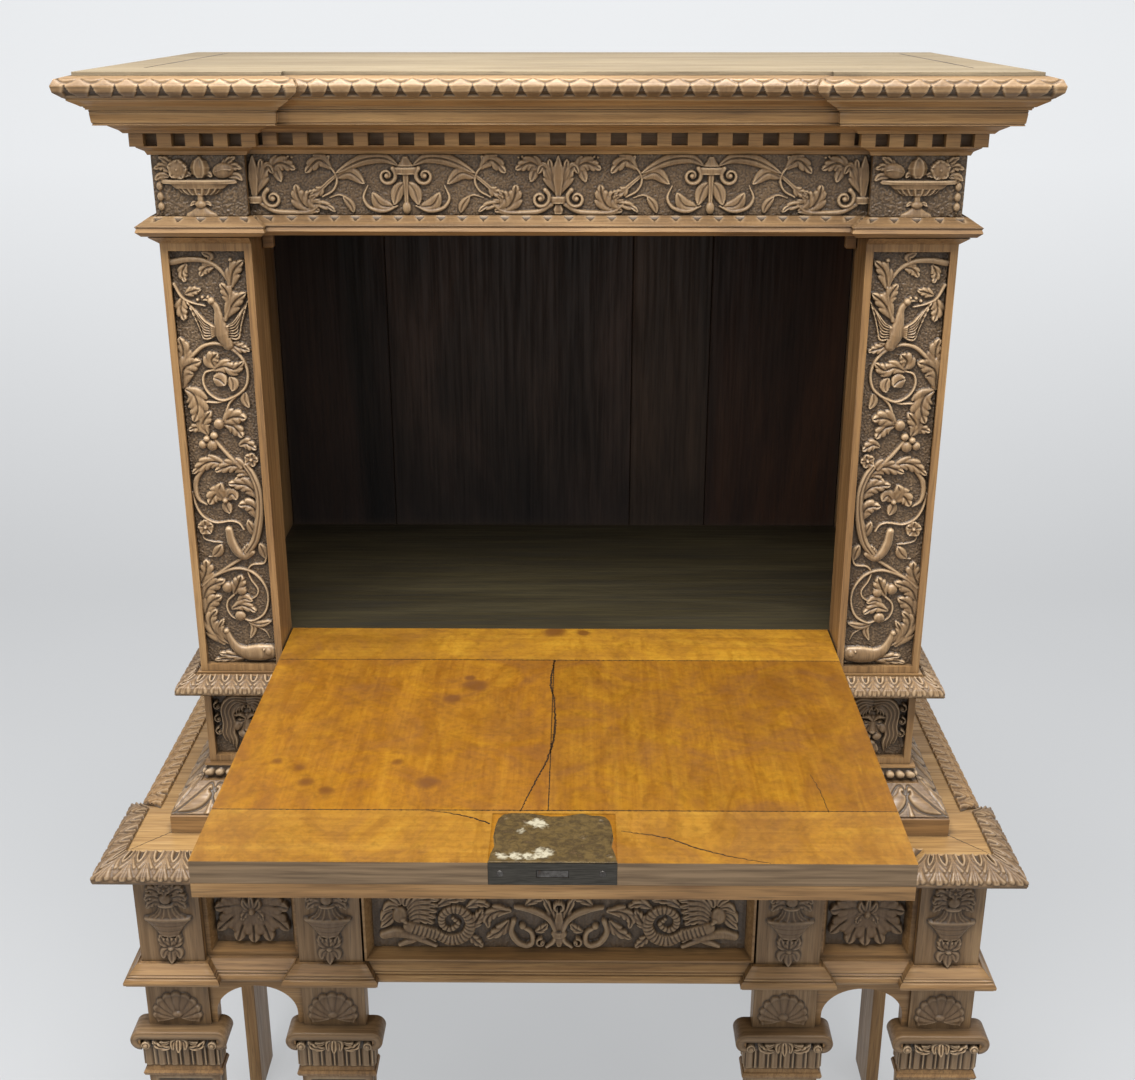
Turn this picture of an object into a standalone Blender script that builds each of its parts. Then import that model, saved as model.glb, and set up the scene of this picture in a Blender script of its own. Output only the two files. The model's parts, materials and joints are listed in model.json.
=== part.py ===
"""Fall-front cabinet on a six-legged stand, with its flap let down. Metres, +Z up, front towards -Y.

Inside the cabinet's own frame Y is 0 at the faces of the pilasters and Z is 0 at the floor.
"""

import math

import bmesh
import bpy
from mathutils import Vector

# Fits
GAP = 0.0003  # between two pieces that touch
EASED_EDGE = 0.0012  # bevel on plain boards

# Plan of the upper cabinet
CASE_HALF = 0.450  # middle to the outer face of a pilaster
CASE_DEPTH = 0.475  # pilaster face to the back
PILASTER_WIDTH = 0.1035
PILASTER_DEPTH = 0.066
BREAK = 0.012  # the middle of the front lies this far behind the pilasters
HEAD_DEPTH = 0.060  # pilaster face to the back of the architrave, cornice and dentils
SIDE_SET = 0.010  # side panels lie this far inside the pilasters' outer faces
SIDE_THICK = 0.022
SIDE_FIELD_MARGIN = 0.060
FIELD_SINK = 0.006
BACK_THICK = 0.0147
PLANK_JOINTS = (-0.258, 0.102, 0.217)
FLOOR_THICK = 0.020
CEILING_THICK = 0.018
FRIEZE_THICK = 0.033

# Heights of the upper cabinet, from the stand's top upwards
FOOT_HEIGHT = 0.079
FOOT_REACH = 0.0454
PEDESTAL_HEIGHT = 0.107
CAP_HEIGHT = 0.022
CAP_REACH = 0.0261
PILASTER_HEIGHT = 0.541
CAPITAL_HEIGHT = 0.008
CAPITAL_REACH = 0.010
ARCHITRAVE_HEIGHT = 0.0225
ARCHITRAVE_REACH = 0.0206
FRIEZE_HEIGHT = 0.0665
DENTIL_COURSE_HEIGHT = 0.0247
BED_HEIGHT = 0.0107
BED_REACH = 0.013
DENTIL_REACH = 0.0174
DENTIL_WIDTH = 0.0155
DENTIL_PITCH = 0.0325
CORNICE_HEIGHT = 0.0415
CORNICE_REACH = 0.066
TOP_THICK = 0.0241
TOP_REACH = 0.0745
TOP_FRAME_FRONT = 0.087
TOP_FRAME_SIDE = 0.052
TOP_FRAME_BACK = 0.050

# Sunk carved panels
PANEL_FRAME = 0.0085
PANEL_SINK = 0.010

# Flap, lying open
FLAP_LEVEL = 0.238  # stand top to the upper face of the flap
FLAP_THICK = 0.040
FLAP_LINING = 0.0245  # thickness of the inner boards and rails
FLAP_REAR = 0.065  # pilaster face to the flap's rear edge
FLAP_SIDE_PLAY = 0.002
FLAP_HEAD_PLAY = 0.003
FLAP_RAIL = 0.094
BOARD_JOINT = -0.006
FACING_MARGIN = 0.070
FACING_SINK = 0.005
AXIS_INSET = 0.020  # pivot axis to the rear edge
AXIS_DROP = 0.010  # pivot axis to the upper face
PIVOT_RADIUS = 0.006
PIVOT_IN_FLAP = 0.025
PIVOT_IN_PILASTER = 0.018
PIVOT_PLAY = 0.0003
PIVOT_SIDES = 16
FLOOR_SWING_PLAY = 0.0008
FLOOR_STEP = 0.0015  # interior floor below the flap's upper face
BASE_SET = 0.004  # base panel behind the pilaster faces
BASE_THICK = 0.020
STOP_SIZE = (0.0135, 0.0098, 0.022)
STOP_PLAY = 0.0005

# Flap lock
LOCK_WIDTH = 0.122
LOCK_DEPTH = 0.088
LOCK_WAVE = 0.006
LOCK_WAVE_POINTS = 24
BOLT_WIDTH = 0.030
BOLT_THICK = 0.007
BOLT_LENGTH = 0.040
BOLT_THROW = 0.008
BOLT_PLAY = 0.0005

# Stand
STAND_HEIGHT = 0.780
STAND_TOP_THICK = 0.0255
STAND_TOP_REACH = 0.035
STAND_REACH = 0.086  # leg faces in front of the pilaster faces
STAND_RECESS = 0.012  # edge and mouldings between the legs behind those of the legs
SIDE_RECESS = 0.015
OUTER_LEG_X = 0.4985
INNER_LEG_X = 0.2945
LEG_WIDTH = 0.082
LEG_DEPTH = 0.100  # blocks and collars
LEG_SHAFT_DEPTH = 0.024  # all below the collars
LEG_JOINT = 0.006  # lower part let up into the collar
LEG_BLOCK = 0.1405
COLLAR_HEIGHT = 0.0265
COLLAR_REACH = 0.0195
SHELL_BLOCK = 0.074
LEG_CAPITAL_HEIGHT = 0.026
LEG_CAPITAL_REACH = 0.018  # in front of the block
LEG_CAPITAL_SPREAD = 0.0215  # round ends beyond the block's sides
LEG_CAPITAL_SIDES = 12  # facets of a round end
LEG_CAPITAL_STRAP = 0.009  # band above the sunk field
LEG_CAPITAL_FIELD = 0.100  # sunk field's width
LEG_CAPITAL_SINK = 0.009
NECK_HEIGHT = 0.035
NECK_RING_HEIGHT = 0.014
NECK_RING_REACH = 0.012
SHAFT_SWELL = 0.003  # shaft beyond the leg's blocks, at its top
SHAFT_TAPER = 0.008  # shaft inside the leg's blocks, at its foot
LEG_BASE_HEIGHT = 0.075
LEG_BASE_REACH = 0.012
REAR_POST_X = 0.5325
REAR_POST_WIDTH = 0.021
REAR_POST_DEPTH = 0.088
REAR_POST_SET = 0.015  # posts in from the back edge of the stand's top
RAIL_X = 0.527
RAIL_THICK = 0.018
SIDE_RAIL_HEIGHT = 0.135
BACK_RAIL_HEIGHT = 0.156
BACK_RAIL_THICK = 0.022
APRON_THICK = 0.034
APRON_FRAME = 0.011
APRON_SINK = 0.016
ARCH_SET = 0.004
ARCH_THICK = 0.018
ARCH_WIDTH = 0.106
ARCH_RISE = 0.042
ARCH_FOOT = 0.017  # straight part of the arch below its round
ARCH_SIDES = 24

# Drawer
DRAWER_HEAD_PLAY = 0.003
DRAWER_SIDE_PLAY = 0.0025
DRAWER_SET = 0.001  # drawer front behind the leg faces
DRAWER_FRONT_THICK = 0.032
PANEL_EDGE = 0.003  # flat rim of the sunk panels in the stand
DRAWER_FRAME = 0.0105
DRAWER_SINK = 0.018
DRAWER_LENGTH = 0.400
DRAWER_WOOD = 0.012
DRAWER_BOTTOM_THICK = 0.007
DRAWER_BOTTOM_RAISE = 0.004
DRAWER_SIDE_DROP = 0.020  # drawer sides below the top of the front
RUNNER_WIDTH = 0.028
RUNNER_THICK = 0.013
DRAWER_LOCK = (0.070, 0.0115, 0.052)
DRAWER_BOLT = (0.020, 0.0055, 0.024)
DRAWER_BOLT_THROW = 0.010

# Outlines of the mouldings, as shares of reach and height, from the bottom up
FOOT_SHAPE = ((1, 0), (1, 0.30), (0.96, 0.33), (0.22, 0.715), (0.07, 0.727), (0.07, 0.955), (0.13, 0.965), (0.13, 1))
CAP_SHAPE = ((0.30, 0), (0.34, 0.10), (0.95, 0.13), (1, 0.19), (0.90, 0.35), (0.25, 0.80), (0.15, 0.86), (0.15, 1))
ARCHITRAVE_SHAPE = ((0.30, 0), (0.75, 0.07), (1, 0.30), (0.93, 0.48), (0.20, 0.93), (0.15, 1))
BED_SHAPE = ((0.23, 0), (0.38, 0.40), (0.92, 0.82), (1, 1))
CORNICE_SHAPE = (
    (0.33, 0), (0.38, 0.085), (0.515, 0.21), (0.515, 0.24), (0.68, 0.24), (0.705, 0.645),
    (0.765, 0.645), (0.765, 0.72), (0.85, 0.81), (0.97, 0.92), (1, 1),
)
TOP_SHAPE = ((0.89, 0), (0.985, 0.21), (1, 0.43), (0.96, 0.66), (0.81, 0.75), (0.78, 0.79), (0.78, 1))
STAND_TOP_SHAPE = ((0.57, 0), (0.95, 0.06), (1, 0.19), (0.95, 0.30), (0.75, 0.55), (0.35, 0.82), (0.06, 0.95), (0, 1))
COLLAR_SHAPE = (
    (0.03, 0), (0.85, 0.02), (0.98, 0.10), (1, 0.22), (0.92, 0.34), (0.80, 0.39), (0.76, 0.40), (0.76, 0.46),
    (0.20, 0.95), (0, 1),
)
NECK_RING_SHAPE = ((0.35, 0), (0.85, 0.06), (1, 0.40), (0.85, 0.62), (0.70, 0.66), (0.55, 1))
LEG_BASE_SHAPE = ((1, 0), (1, 0.45), (0.65, 0.50), (0.85, 0.62), (0.65, 0.74), (0.10, 0.86), (-0.40, 0.94), (-0.65, 1))

# Heights that follow
STAND_TOP = STAND_HEIGHT
STAND_UNDER = STAND_TOP - STAND_TOP_THICK
FOOT_TOP = STAND_TOP + FOOT_HEIGHT
PEDESTAL_TOP = FOOT_TOP + PEDESTAL_HEIGHT
CAP_TOP = PEDESTAL_TOP + CAP_HEIGHT
PILASTER_TOP = CAP_TOP + PILASTER_HEIGHT
ARCHITRAVE_TOP = PILASTER_TOP + ARCHITRAVE_HEIGHT
FRIEZE_TOP = ARCHITRAVE_TOP + FRIEZE_HEIGHT
DENTIL_TOP = FRIEZE_TOP + DENTIL_COURSE_HEIGHT
CORNICE_TOP = DENTIL_TOP + CORNICE_HEIGHT
TOP = CORNICE_TOP + TOP_THICK
FLAP_TOP = STAND_TOP + FLAP_LEVEL
FLAP_UNDER = FLAP_TOP - FLAP_THICK
LINING_UNDER = FLAP_TOP - FLAP_LINING
AXIS_Y = FLAP_REAR - AXIS_INSET
AXIS_Z = FLAP_TOP - AXIS_DROP
FLAP_LENGTH = PILASTER_TOP - FLAP_HEAD_PLAY - (AXIS_Z - AXIS_INSET)
FLAP_FRONT = FLAP_REAR - FLAP_LENGTH
FLOOR_FRONT = AXIS_Y + math.hypot(AXIS_INSET, AXIS_DROP) + FLOOR_SWING_PLAY
FLOOR_TOP = FLAP_TOP - FLOOR_STEP
BLOCK_UNDER = STAND_UNDER - LEG_BLOCK
COLLAR_UNDER = BLOCK_UNDER - COLLAR_HEIGHT
SHELL_UNDER = COLLAR_UNDER - SHELL_BLOCK
LEG_CAPITAL_UNDER = SHELL_UNDER - LEG_CAPITAL_HEIGHT
NECK_UNDER = LEG_CAPITAL_UNDER - NECK_HEIGHT
NECK_RING_UNDER = NECK_UNDER - NECK_RING_HEIGHT
NECK_REACH = NECK_RING_SHAPE[-1][0] * NECK_RING_REACH
DRAWER_TOP = STAND_UNDER - DRAWER_HEAD_PLAY
DRAWER_UNDER = BLOCK_UNDER + GAP

# Widths and depths that follow
OPENING_HALF = CASE_HALF - PILASTER_WIDTH
SIDE_OUTER = CASE_HALF - SIDE_SET
SIDE_INNER = SIDE_OUTER - SIDE_THICK
INSIDE_HALF = SIDE_INNER - GAP
INSIDE_BACK = CASE_DEPTH - BACK_THICK - GAP
FLAP_HALF = OPENING_HALF - FLAP_SIDE_PLAY
LEG_FACE = -STAND_REACH
INNER_LEG_INNER = INNER_LEG_X - LEG_WIDTH / 2
INNER_LEG_OUTER = INNER_LEG_X + LEG_WIDTH / 2
OUTER_LEG_INNER = OUTER_LEG_X - LEG_WIDTH / 2
OUTER_LEG_OUTER = OUTER_LEG_X + LEG_WIDTH / 2
LEG_BACK = LEG_FACE + LEG_DEPTH
SHAFT_BACK = LEG_FACE + LEG_SHAFT_DEPTH
DRAWER_HALF = INNER_LEG_INNER - DRAWER_SIDE_PLAY
DRAWER_FACE = LEG_FACE + DRAWER_SET
DRAWER_INNER_FACE = DRAWER_FACE + DRAWER_FRONT_THICK
DRAWER_BACK = DRAWER_FACE + DRAWER_LENGTH
POST_BACK = CASE_DEPTH - REAR_POST_SET
POST_FRONT = POST_BACK - REAR_POST_DEPTH
BACK_RAIL_FRONT = POST_BACK - BACK_RAIL_THICK
MIDDLE_Y = (FLAP_FRONT + CASE_DEPTH) / 2


def material(name, colour, roughness, metallic=0.0):
    made = bpy.data.materials.new(name)
    made.use_nodes = True
    shader = made.node_tree.nodes["Principled BSDF"]
    shader.inputs["Base Color"].default_value = (*colour, 1.0)
    shader.inputs["Roughness"].default_value = roughness
    shader.inputs["Metallic"].default_value = metallic
    return made


def empty(name, parent=None, place=(0.0, 0.0, 0.0)):
    """A body's frame. place is in the cabinet's frame, also when another body carries it."""
    made = bpy.data.objects.new(name, None)
    bpy.context.scene.collection.objects.link(made)
    made["place"] = place
    made.parent = parent
    made.location = Vector(place) - Vector(parent["place"] if parent else (0, 0, 0))
    return made


def loft(rings):
    """A closed shape through rings of equally many points, capped at both ends."""
    shape = bmesh.new()
    loops = [[shape.verts.new(point) for point in ring] for ring in rings]
    for low, high in zip(loops, loops[1:]):
        for i in range(len(low)):
            j = (i + 1) % len(low)
            shape.faces.new((low[i], low[j], high[j], high[i]))
    shape.faces.new(reversed(loops[0]))
    shape.faces.new(loops[-1])
    bmesh.ops.recalc_face_normals(shape, faces=shape.faces)
    return shape


def block(low, high):
    (x0, y0, z0), (x1, y1, z1) = low, high
    return loft([((x0, y0, z), (x1, y0, z), (x1, y1, z), (x0, y1, z)) for z in (z0, z1)])


def prism_along_x(outline, low, high):
    return loft([[(x, y, z) for y, z in outline] for x in (low, high)])


def prism_along_y(outline, low, high):
    return loft([[(x, y, z) for x, z in outline] for y in (low, high)])


def prism_along_z(outline, low, high):
    return loft([[(x, y, z) for x, y in outline] for z in (low, high)])


def sunk_front(low, high, rim, frame, sink):
    """A block whose -Y face has a field sunk inside a rim, with sides that slope in to the frame's width."""
    (x0, y0, z0), (x1, y1, z1) = low, high
    steps = ((0.0, y1), (0.0, y0), (rim, y0), (frame, y0 + sink))
    rings = []
    for inset, y in steps:
        left, right, low_z, high_z = x0 + inset, x1 - inset, z0 + inset, z1 - inset
        rings.append(((left, y, low_z), (right, y, low_z), (right, y, high_z), (left, y, high_z)))
    return loft(rings)


def sunk_field(low, high, slope, sink):
    """A cutter for a field in a -Y face: as wide as its corners say at the face, narrower by the slope below it."""
    (x0, y, z0), (x1, _, z1) = low, high
    rings = []
    for inset, depth in ((-slope, y - sink), (slope, y + sink)):
        left, right, low_z, high_z = x0 + inset, x1 - inset, z0 + inset, z1 - inset
        rings.append(((left, depth, low_z), (right, depth, low_z), (right, depth, high_z), (left, depth, high_z)))
    return loft(rings)


def moulded(shape, reach, low, high):
    """A moulding's outline as (projection, height) pairs between two heights."""
    return [(share * reach, low + up * (high - low)) for share, up in shape]


def stack(plan, profile):
    """Layers of one plan, each pushed out along its mitres. A plan point is (x, y, mitre x, mitre y)."""
    return loft([[(x + mx * p, y + my * p, z) for x, y, mx, my in plan] for p, z in profile])


def mirrored_plan(plan):
    return [(-x, y, -mx, my) for x, y, mx, my in plan]


def node(name, shape, finish, body, eased=False):
    """One named piece, its mesh given in the cabinet's frame and its origin on its body's frame."""
    bmesh.ops.translate(shape, verts=shape.verts, vec=-Vector(body["place"]))
    mesh = bpy.data.meshes.new(name)
    shape.to_mesh(mesh)
    shape.free()
    mesh.materials.append(finish)
    made = bpy.data.objects.new(name, mesh)
    bpy.context.scene.collection.objects.link(made)
    made.parent = body
    if eased:
        bevel = made.modifiers.new("eased_edges", "BEVEL")
        bevel.width = EASED_EDGE
        bevel.segments = 1
        bevel.limit_method = "ANGLE"
    return made


def combine(piece, other, operation):
    """Cuts another shape from a piece, or joins it on. The shape stays as a hidden helper."""
    helper = node(f"{piece.name}_{operation.lower()}_{len(piece.modifiers)}", other, piece.active_material, piece.parent)
    helper.hide_render = True
    helper.display_type = "WIRE"
    change = piece.modifiers.new(operation.lower(), "BOOLEAN")
    change.operation = operation
    change.solver = "EXACT"
    change.object = helper
    return piece


def pin(x0, x1, radius):
    """A round bar along X on the flap's axis."""
    turns = [2 * math.pi * i / PIVOT_SIDES for i in range(PIVOT_SIDES)]
    circle = [(AXIS_Y + radius * math.cos(a), AXIS_Z + radius * math.sin(a)) for a in turns]
    return prism_along_x(circle, x0, x1)


def head_plan():
    """The broken-forward plan that architrave, dentils and cornice share, open towards the back."""
    side = SIDE_OUTER + GAP
    left = [
        (-CASE_HALF, CASE_DEPTH, -1, 0),
        (-CASE_HALF, 0, -1, -1),
        (-OPENING_HALF, 0, 1, -1),
        (-OPENING_HALF, BREAK, 1, -1),
    ]
    inside = [(side, CASE_DEPTH, 0, 0), (side, HEAD_DEPTH, 0, 0), (-side, HEAD_DEPTH, 0, 0), (-side, CASE_DEPTH, 0, 0)]
    return left + mirrored_plan(left)[::-1] + inside


def pedestal_plan():
    """The left pedestal's plan, with the return that runs back along the side."""
    side = SIDE_OUTER + GAP
    return [
        (-OPENING_HALF, PILASTER_DEPTH, 0, 0),
        (-OPENING_HALF, 0, 0, -1),
        (-CASE_HALF, 0, -1, -1),
        (-CASE_HALF, CASE_DEPTH, -1, 0),
        (-side, CASE_DEPTH, 0, 0),
        (-side, PILASTER_DEPTH, 0, 0),
    ]


def build_pedestal(side, wood, body):
    """Foot, pedestal block, cap and pilaster of one side."""
    plan = pedestal_plan() if side == "left" else mirrored_plan(pedestal_plan())
    sign = -1 if side == "left" else 1
    x0, x1 = sorted((sign * CASE_HALF, sign * OPENING_HALF))
    node(f"pedestal_foot_{side}", stack(plan, moulded(FOOT_SHAPE, FOOT_REACH, STAND_TOP + GAP, FOOT_TOP)), wood, body)
    face = sunk_front((x0, 0, FOOT_TOP + GAP), (x1, PILASTER_DEPTH, PEDESTAL_TOP), PANEL_FRAME, PANEL_FRAME, PANEL_SINK)
    node(f"pedestal_{side}", face, wood, body)
    node(f"pedestal_cap_{side}", stack(plan, moulded(CAP_SHAPE, CAP_REACH, PEDESTAL_TOP + GAP, CAP_TOP)), wood, body)
    column = [
        (x0, 0, -1 if side == "left" else 0, -1),
        (x1, 0, 0 if side == "left" else 1, -1),
        (x1, PILASTER_DEPTH, 0 if side == "left" else 1, 0),
        (x0, PILASTER_DEPTH, -1 if side == "left" else 0, 0),
    ]
    bottom, top = CAP_TOP + GAP, PILASTER_TOP
    capital = top - CAPITAL_HEIGHT
    shaft = stack(column, [(0, bottom), (0, capital), (CAPITAL_REACH, top)])
    pilaster = node(f"pilaster_{side}", shaft, wood, body)
    panel = block(
        (x0 + PANEL_FRAME, -PANEL_SINK, bottom + PANEL_FRAME),
        (x1 - PANEL_FRAME, PANEL_SINK, capital - PANEL_FRAME),
    )
    combine(pilaster, panel, "DIFFERENCE")
    mouth, end = sign * (OPENING_HALF - GAP), sign * (OPENING_HALF + PIVOT_IN_PILASTER + GAP)
    combine(pilaster, pin(*sorted((mouth, end)), PIVOT_RADIUS + PIVOT_PLAY), "DIFFERENCE")


def build_carcass(wood, dark, body):
    """Side panels, back planks, floor, ceiling and the panel under the flap."""
    for side, sign in (("left", -1), ("right", 1)):
        low_y, high_y = PILASTER_DEPTH + GAP, CASE_DEPTH
        low_z, high_z = STAND_TOP + GAP, CORNICE_TOP - GAP
        x0, x1 = sorted((sign * SIDE_INNER, sign * SIDE_OUTER))
        panel = node(f"side_panel_{side}", block((x0, low_y, low_z), (x1, high_y, high_z)), wood, body)
        outer = sign * SIDE_OUTER
        f0, f1 = sorted((outer - sign * FIELD_SINK, outer + sign * FIELD_SINK))
        field = block(
            (f0, low_y + SIDE_FIELD_MARGIN, CAP_TOP + SIDE_FIELD_MARGIN),
            (f1, high_y - SIDE_FIELD_MARGIN, PILASTER_TOP - SIDE_FIELD_MARGIN),
        )
        combine(panel, field, "DIFFERENCE")
    joints = (-INSIDE_HALF, *PLANK_JOINTS, INSIDE_HALF)
    for number, (x0, x1) in enumerate(zip(joints, joints[1:]), 1):
        plank = block((x0 + GAP, INSIDE_BACK + GAP, STAND_TOP + GAP), (x1 - GAP, CASE_DEPTH, CORNICE_TOP - GAP))
        node(f"back_plank_{number}", plank, dark, body, eased=True)
    floor = block((-INSIDE_HALF, FLOOR_FRONT, FLOOR_TOP - FLOOR_THICK), (INSIDE_HALF, INSIDE_BACK, FLOOR_TOP))
    node("interior_floor", floor, dark, body)
    under = PILASTER_TOP + GAP
    ceiling = block((-INSIDE_HALF, HEAD_DEPTH + GAP, under), (INSIDE_HALF, INSIDE_BACK, under + CEILING_THICK))
    node("interior_ceiling", ceiling, dark, body)
    half = OPENING_HALF - GAP
    foot = moulded(FOOT_SHAPE, FOOT_REACH, STAND_TOP + GAP, FOOT_TOP)
    plan = [(-half, BASE_SET, 0, -1), (half, BASE_SET, 0, -1), (half, BASE_SET + BASE_THICK, 0, 0), (-half, BASE_SET + BASE_THICK, 0, 0)]
    node("base_panel", stack(plan, [*foot, (0, FOOT_TOP), (0, FLAP_UNDER - GAP)]), wood, body)


def build_head(wood, body):
    """Architrave, frieze, dentils, cornice and top."""
    plan = head_plan()
    architrave = node(
        "architrave_moulding",
        stack(plan, moulded(ARCHITRAVE_SHAPE, ARCHITRAVE_REACH, PILASTER_TOP + GAP, ARCHITRAVE_TOP)),
        wood, body,
    )
    bolt_y = AXIS_Y + (FLAP_TOP - FLAP_LINING / 2) - AXIS_Z
    mortise = block(
        (-BOLT_WIDTH / 2 - BOLT_PLAY, bolt_y - BOLT_THICK / 2 - BOLT_PLAY, PILASTER_TOP - BOLT_THROW),
        (BOLT_WIDTH / 2 + BOLT_PLAY, bolt_y + BOLT_THICK / 2 + BOLT_PLAY, PILASTER_TOP + BOLT_THROW),
    )
    combine(architrave, mortise, "DIFFERENCE")
    low, high = ARCHITRAVE_TOP + GAP, FRIEZE_TOP
    rail = block((-OPENING_HALF + GAP, BREAK, low), (OPENING_HALF - GAP, BREAK + FRIEZE_THICK, high))
    node("frieze_rail", rail, wood, body, eased=True)
    for side, sign in (("left", -1), ("right", 1)):
        x0, x1 = sorted((sign * CASE_HALF, sign * OPENING_HALF))
        node(f"frieze_block_{side}", block((x0, 0, low), (x1, PILASTER_DEPTH, high)), wood, body, eased=True)
    bed_top = FRIEZE_TOP + BED_HEIGHT
    bed = moulded(BED_SHAPE, BED_REACH, FRIEZE_TOP + GAP, bed_top)
    ground = BED_SHAPE[0][0] * BED_REACH
    course = node("dentil_course", stack(plan, [*bed, (ground, bed_top + GAP), (ground, DENTIL_TOP)]), wood, body)
    combine(course, dentils(bed_top), "UNION")
    profile = moulded(CORNICE_SHAPE, CORNICE_REACH, DENTIL_TOP + GAP, CORNICE_TOP)
    node("cornice_moulding", stack(plan, profile), wood, body)
    edge = [point for point in plan if point[2] or point[3]]
    frame = node("top_frame", stack(edge, moulded(TOP_SHAPE, TOP_REACH, CORNICE_TOP + GAP, TOP)), wood, body)
    lip = TOP_SHAPE[-1][0] * TOP_REACH
    half = CASE_HALF + lip - TOP_FRAME_SIDE
    front, back = TOP_FRAME_FRONT - lip, CASE_DEPTH - TOP_FRAME_BACK
    hole = block((-half, front, CORNICE_TOP - TOP_THICK), (half, back, TOP + TOP_THICK))
    combine(frame, hole, "DIFFERENCE")
    panel = block((-half + GAP, front + GAP, CORNICE_TOP + GAP), (half - GAP, back - GAP, TOP))
    node("top_panel", panel, wood, body, eased=True)


def dentil_run(low, high):
    """Left edges of dentils that fill a run evenly, with one at each end."""
    count = max(1, round((high - low - DENTIL_WIDTH) / DENTIL_PITCH))
    return [low + i * (high - low - DENTIL_WIDTH) / count for i in range(count + 1)]


def dentils(bed_top):
    """All dentils as one shape of separate blocks that reach into the bed moulding."""
    shape = bmesh.new()
    low, high = bed_top - GAP, DENTIL_TOP - GAP
    root = BED_SHAPE[0][0] * BED_REACH / 2
    blocks = []
    for sign in (-1, 1):
        ends = sorted((sign * (CASE_HALF + DENTIL_REACH), sign * (OPENING_HALF - DENTIL_REACH)))
        blocks += [(x, x + DENTIL_WIDTH, -DENTIL_REACH, -root) for x in dentil_run(*ends)]
        outer = sorted((sign * (CASE_HALF + root), sign * (CASE_HALF + DENTIL_REACH)))
        for y in dentil_run(-DENTIL_REACH, CASE_DEPTH - DENTIL_WIDTH)[1:]:
            blocks.append((*outer, y, y + DENTIL_WIDTH))
    middle = OPENING_HALF - DENTIL_REACH - DENTIL_WIDTH / 3
    blocks += [(x, x + DENTIL_WIDTH, BREAK - DENTIL_REACH, BREAK - root) for x in dentil_run(-middle, middle)]
    for x0, x1, y0, y1 in blocks:
        tooth = block((x0, y0, low), (x1, y1, high))
        mesh = bpy.data.meshes.new("tooth")
        tooth.to_mesh(mesh)
        tooth.free()
        shape.from_mesh(mesh)
        bpy.data.meshes.remove(mesh)
    return shape


def build_stops(wood, body):
    """Blocks in the upper corners of the opening that the closing flap meets."""
    width, depth, height = STOP_SIZE
    front = AXIS_Y + AXIS_DROP + STOP_PLAY
    for side, sign in (("left", -1), ("right", 1)):
        x0, x1 = sorted((sign * (OPENING_HALF - GAP), sign * (OPENING_HALF - width)))
        stop = block((x0, front, PILASTER_TOP - height), (x1, front + depth, PILASTER_TOP - GAP))
        node(f"flap_stop_{side}", stop, wood, body, eased=True)


def lock_outline(grow):
    """Plan of the flap lock: straight at the flap's edge, waved at the back, grown by a clearance."""
    half = LOCK_WIDTH / 2 + grow
    points = []
    for i in range(LOCK_WAVE_POINTS + 1):
        share = 1 - 2 * i / LOCK_WAVE_POINTS
        wave = LOCK_WAVE * math.sin(math.pi * share) ** 2
        points.append((share * half, FLAP_FRONT + LOCK_DEPTH + grow - wave))
    return points


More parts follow.
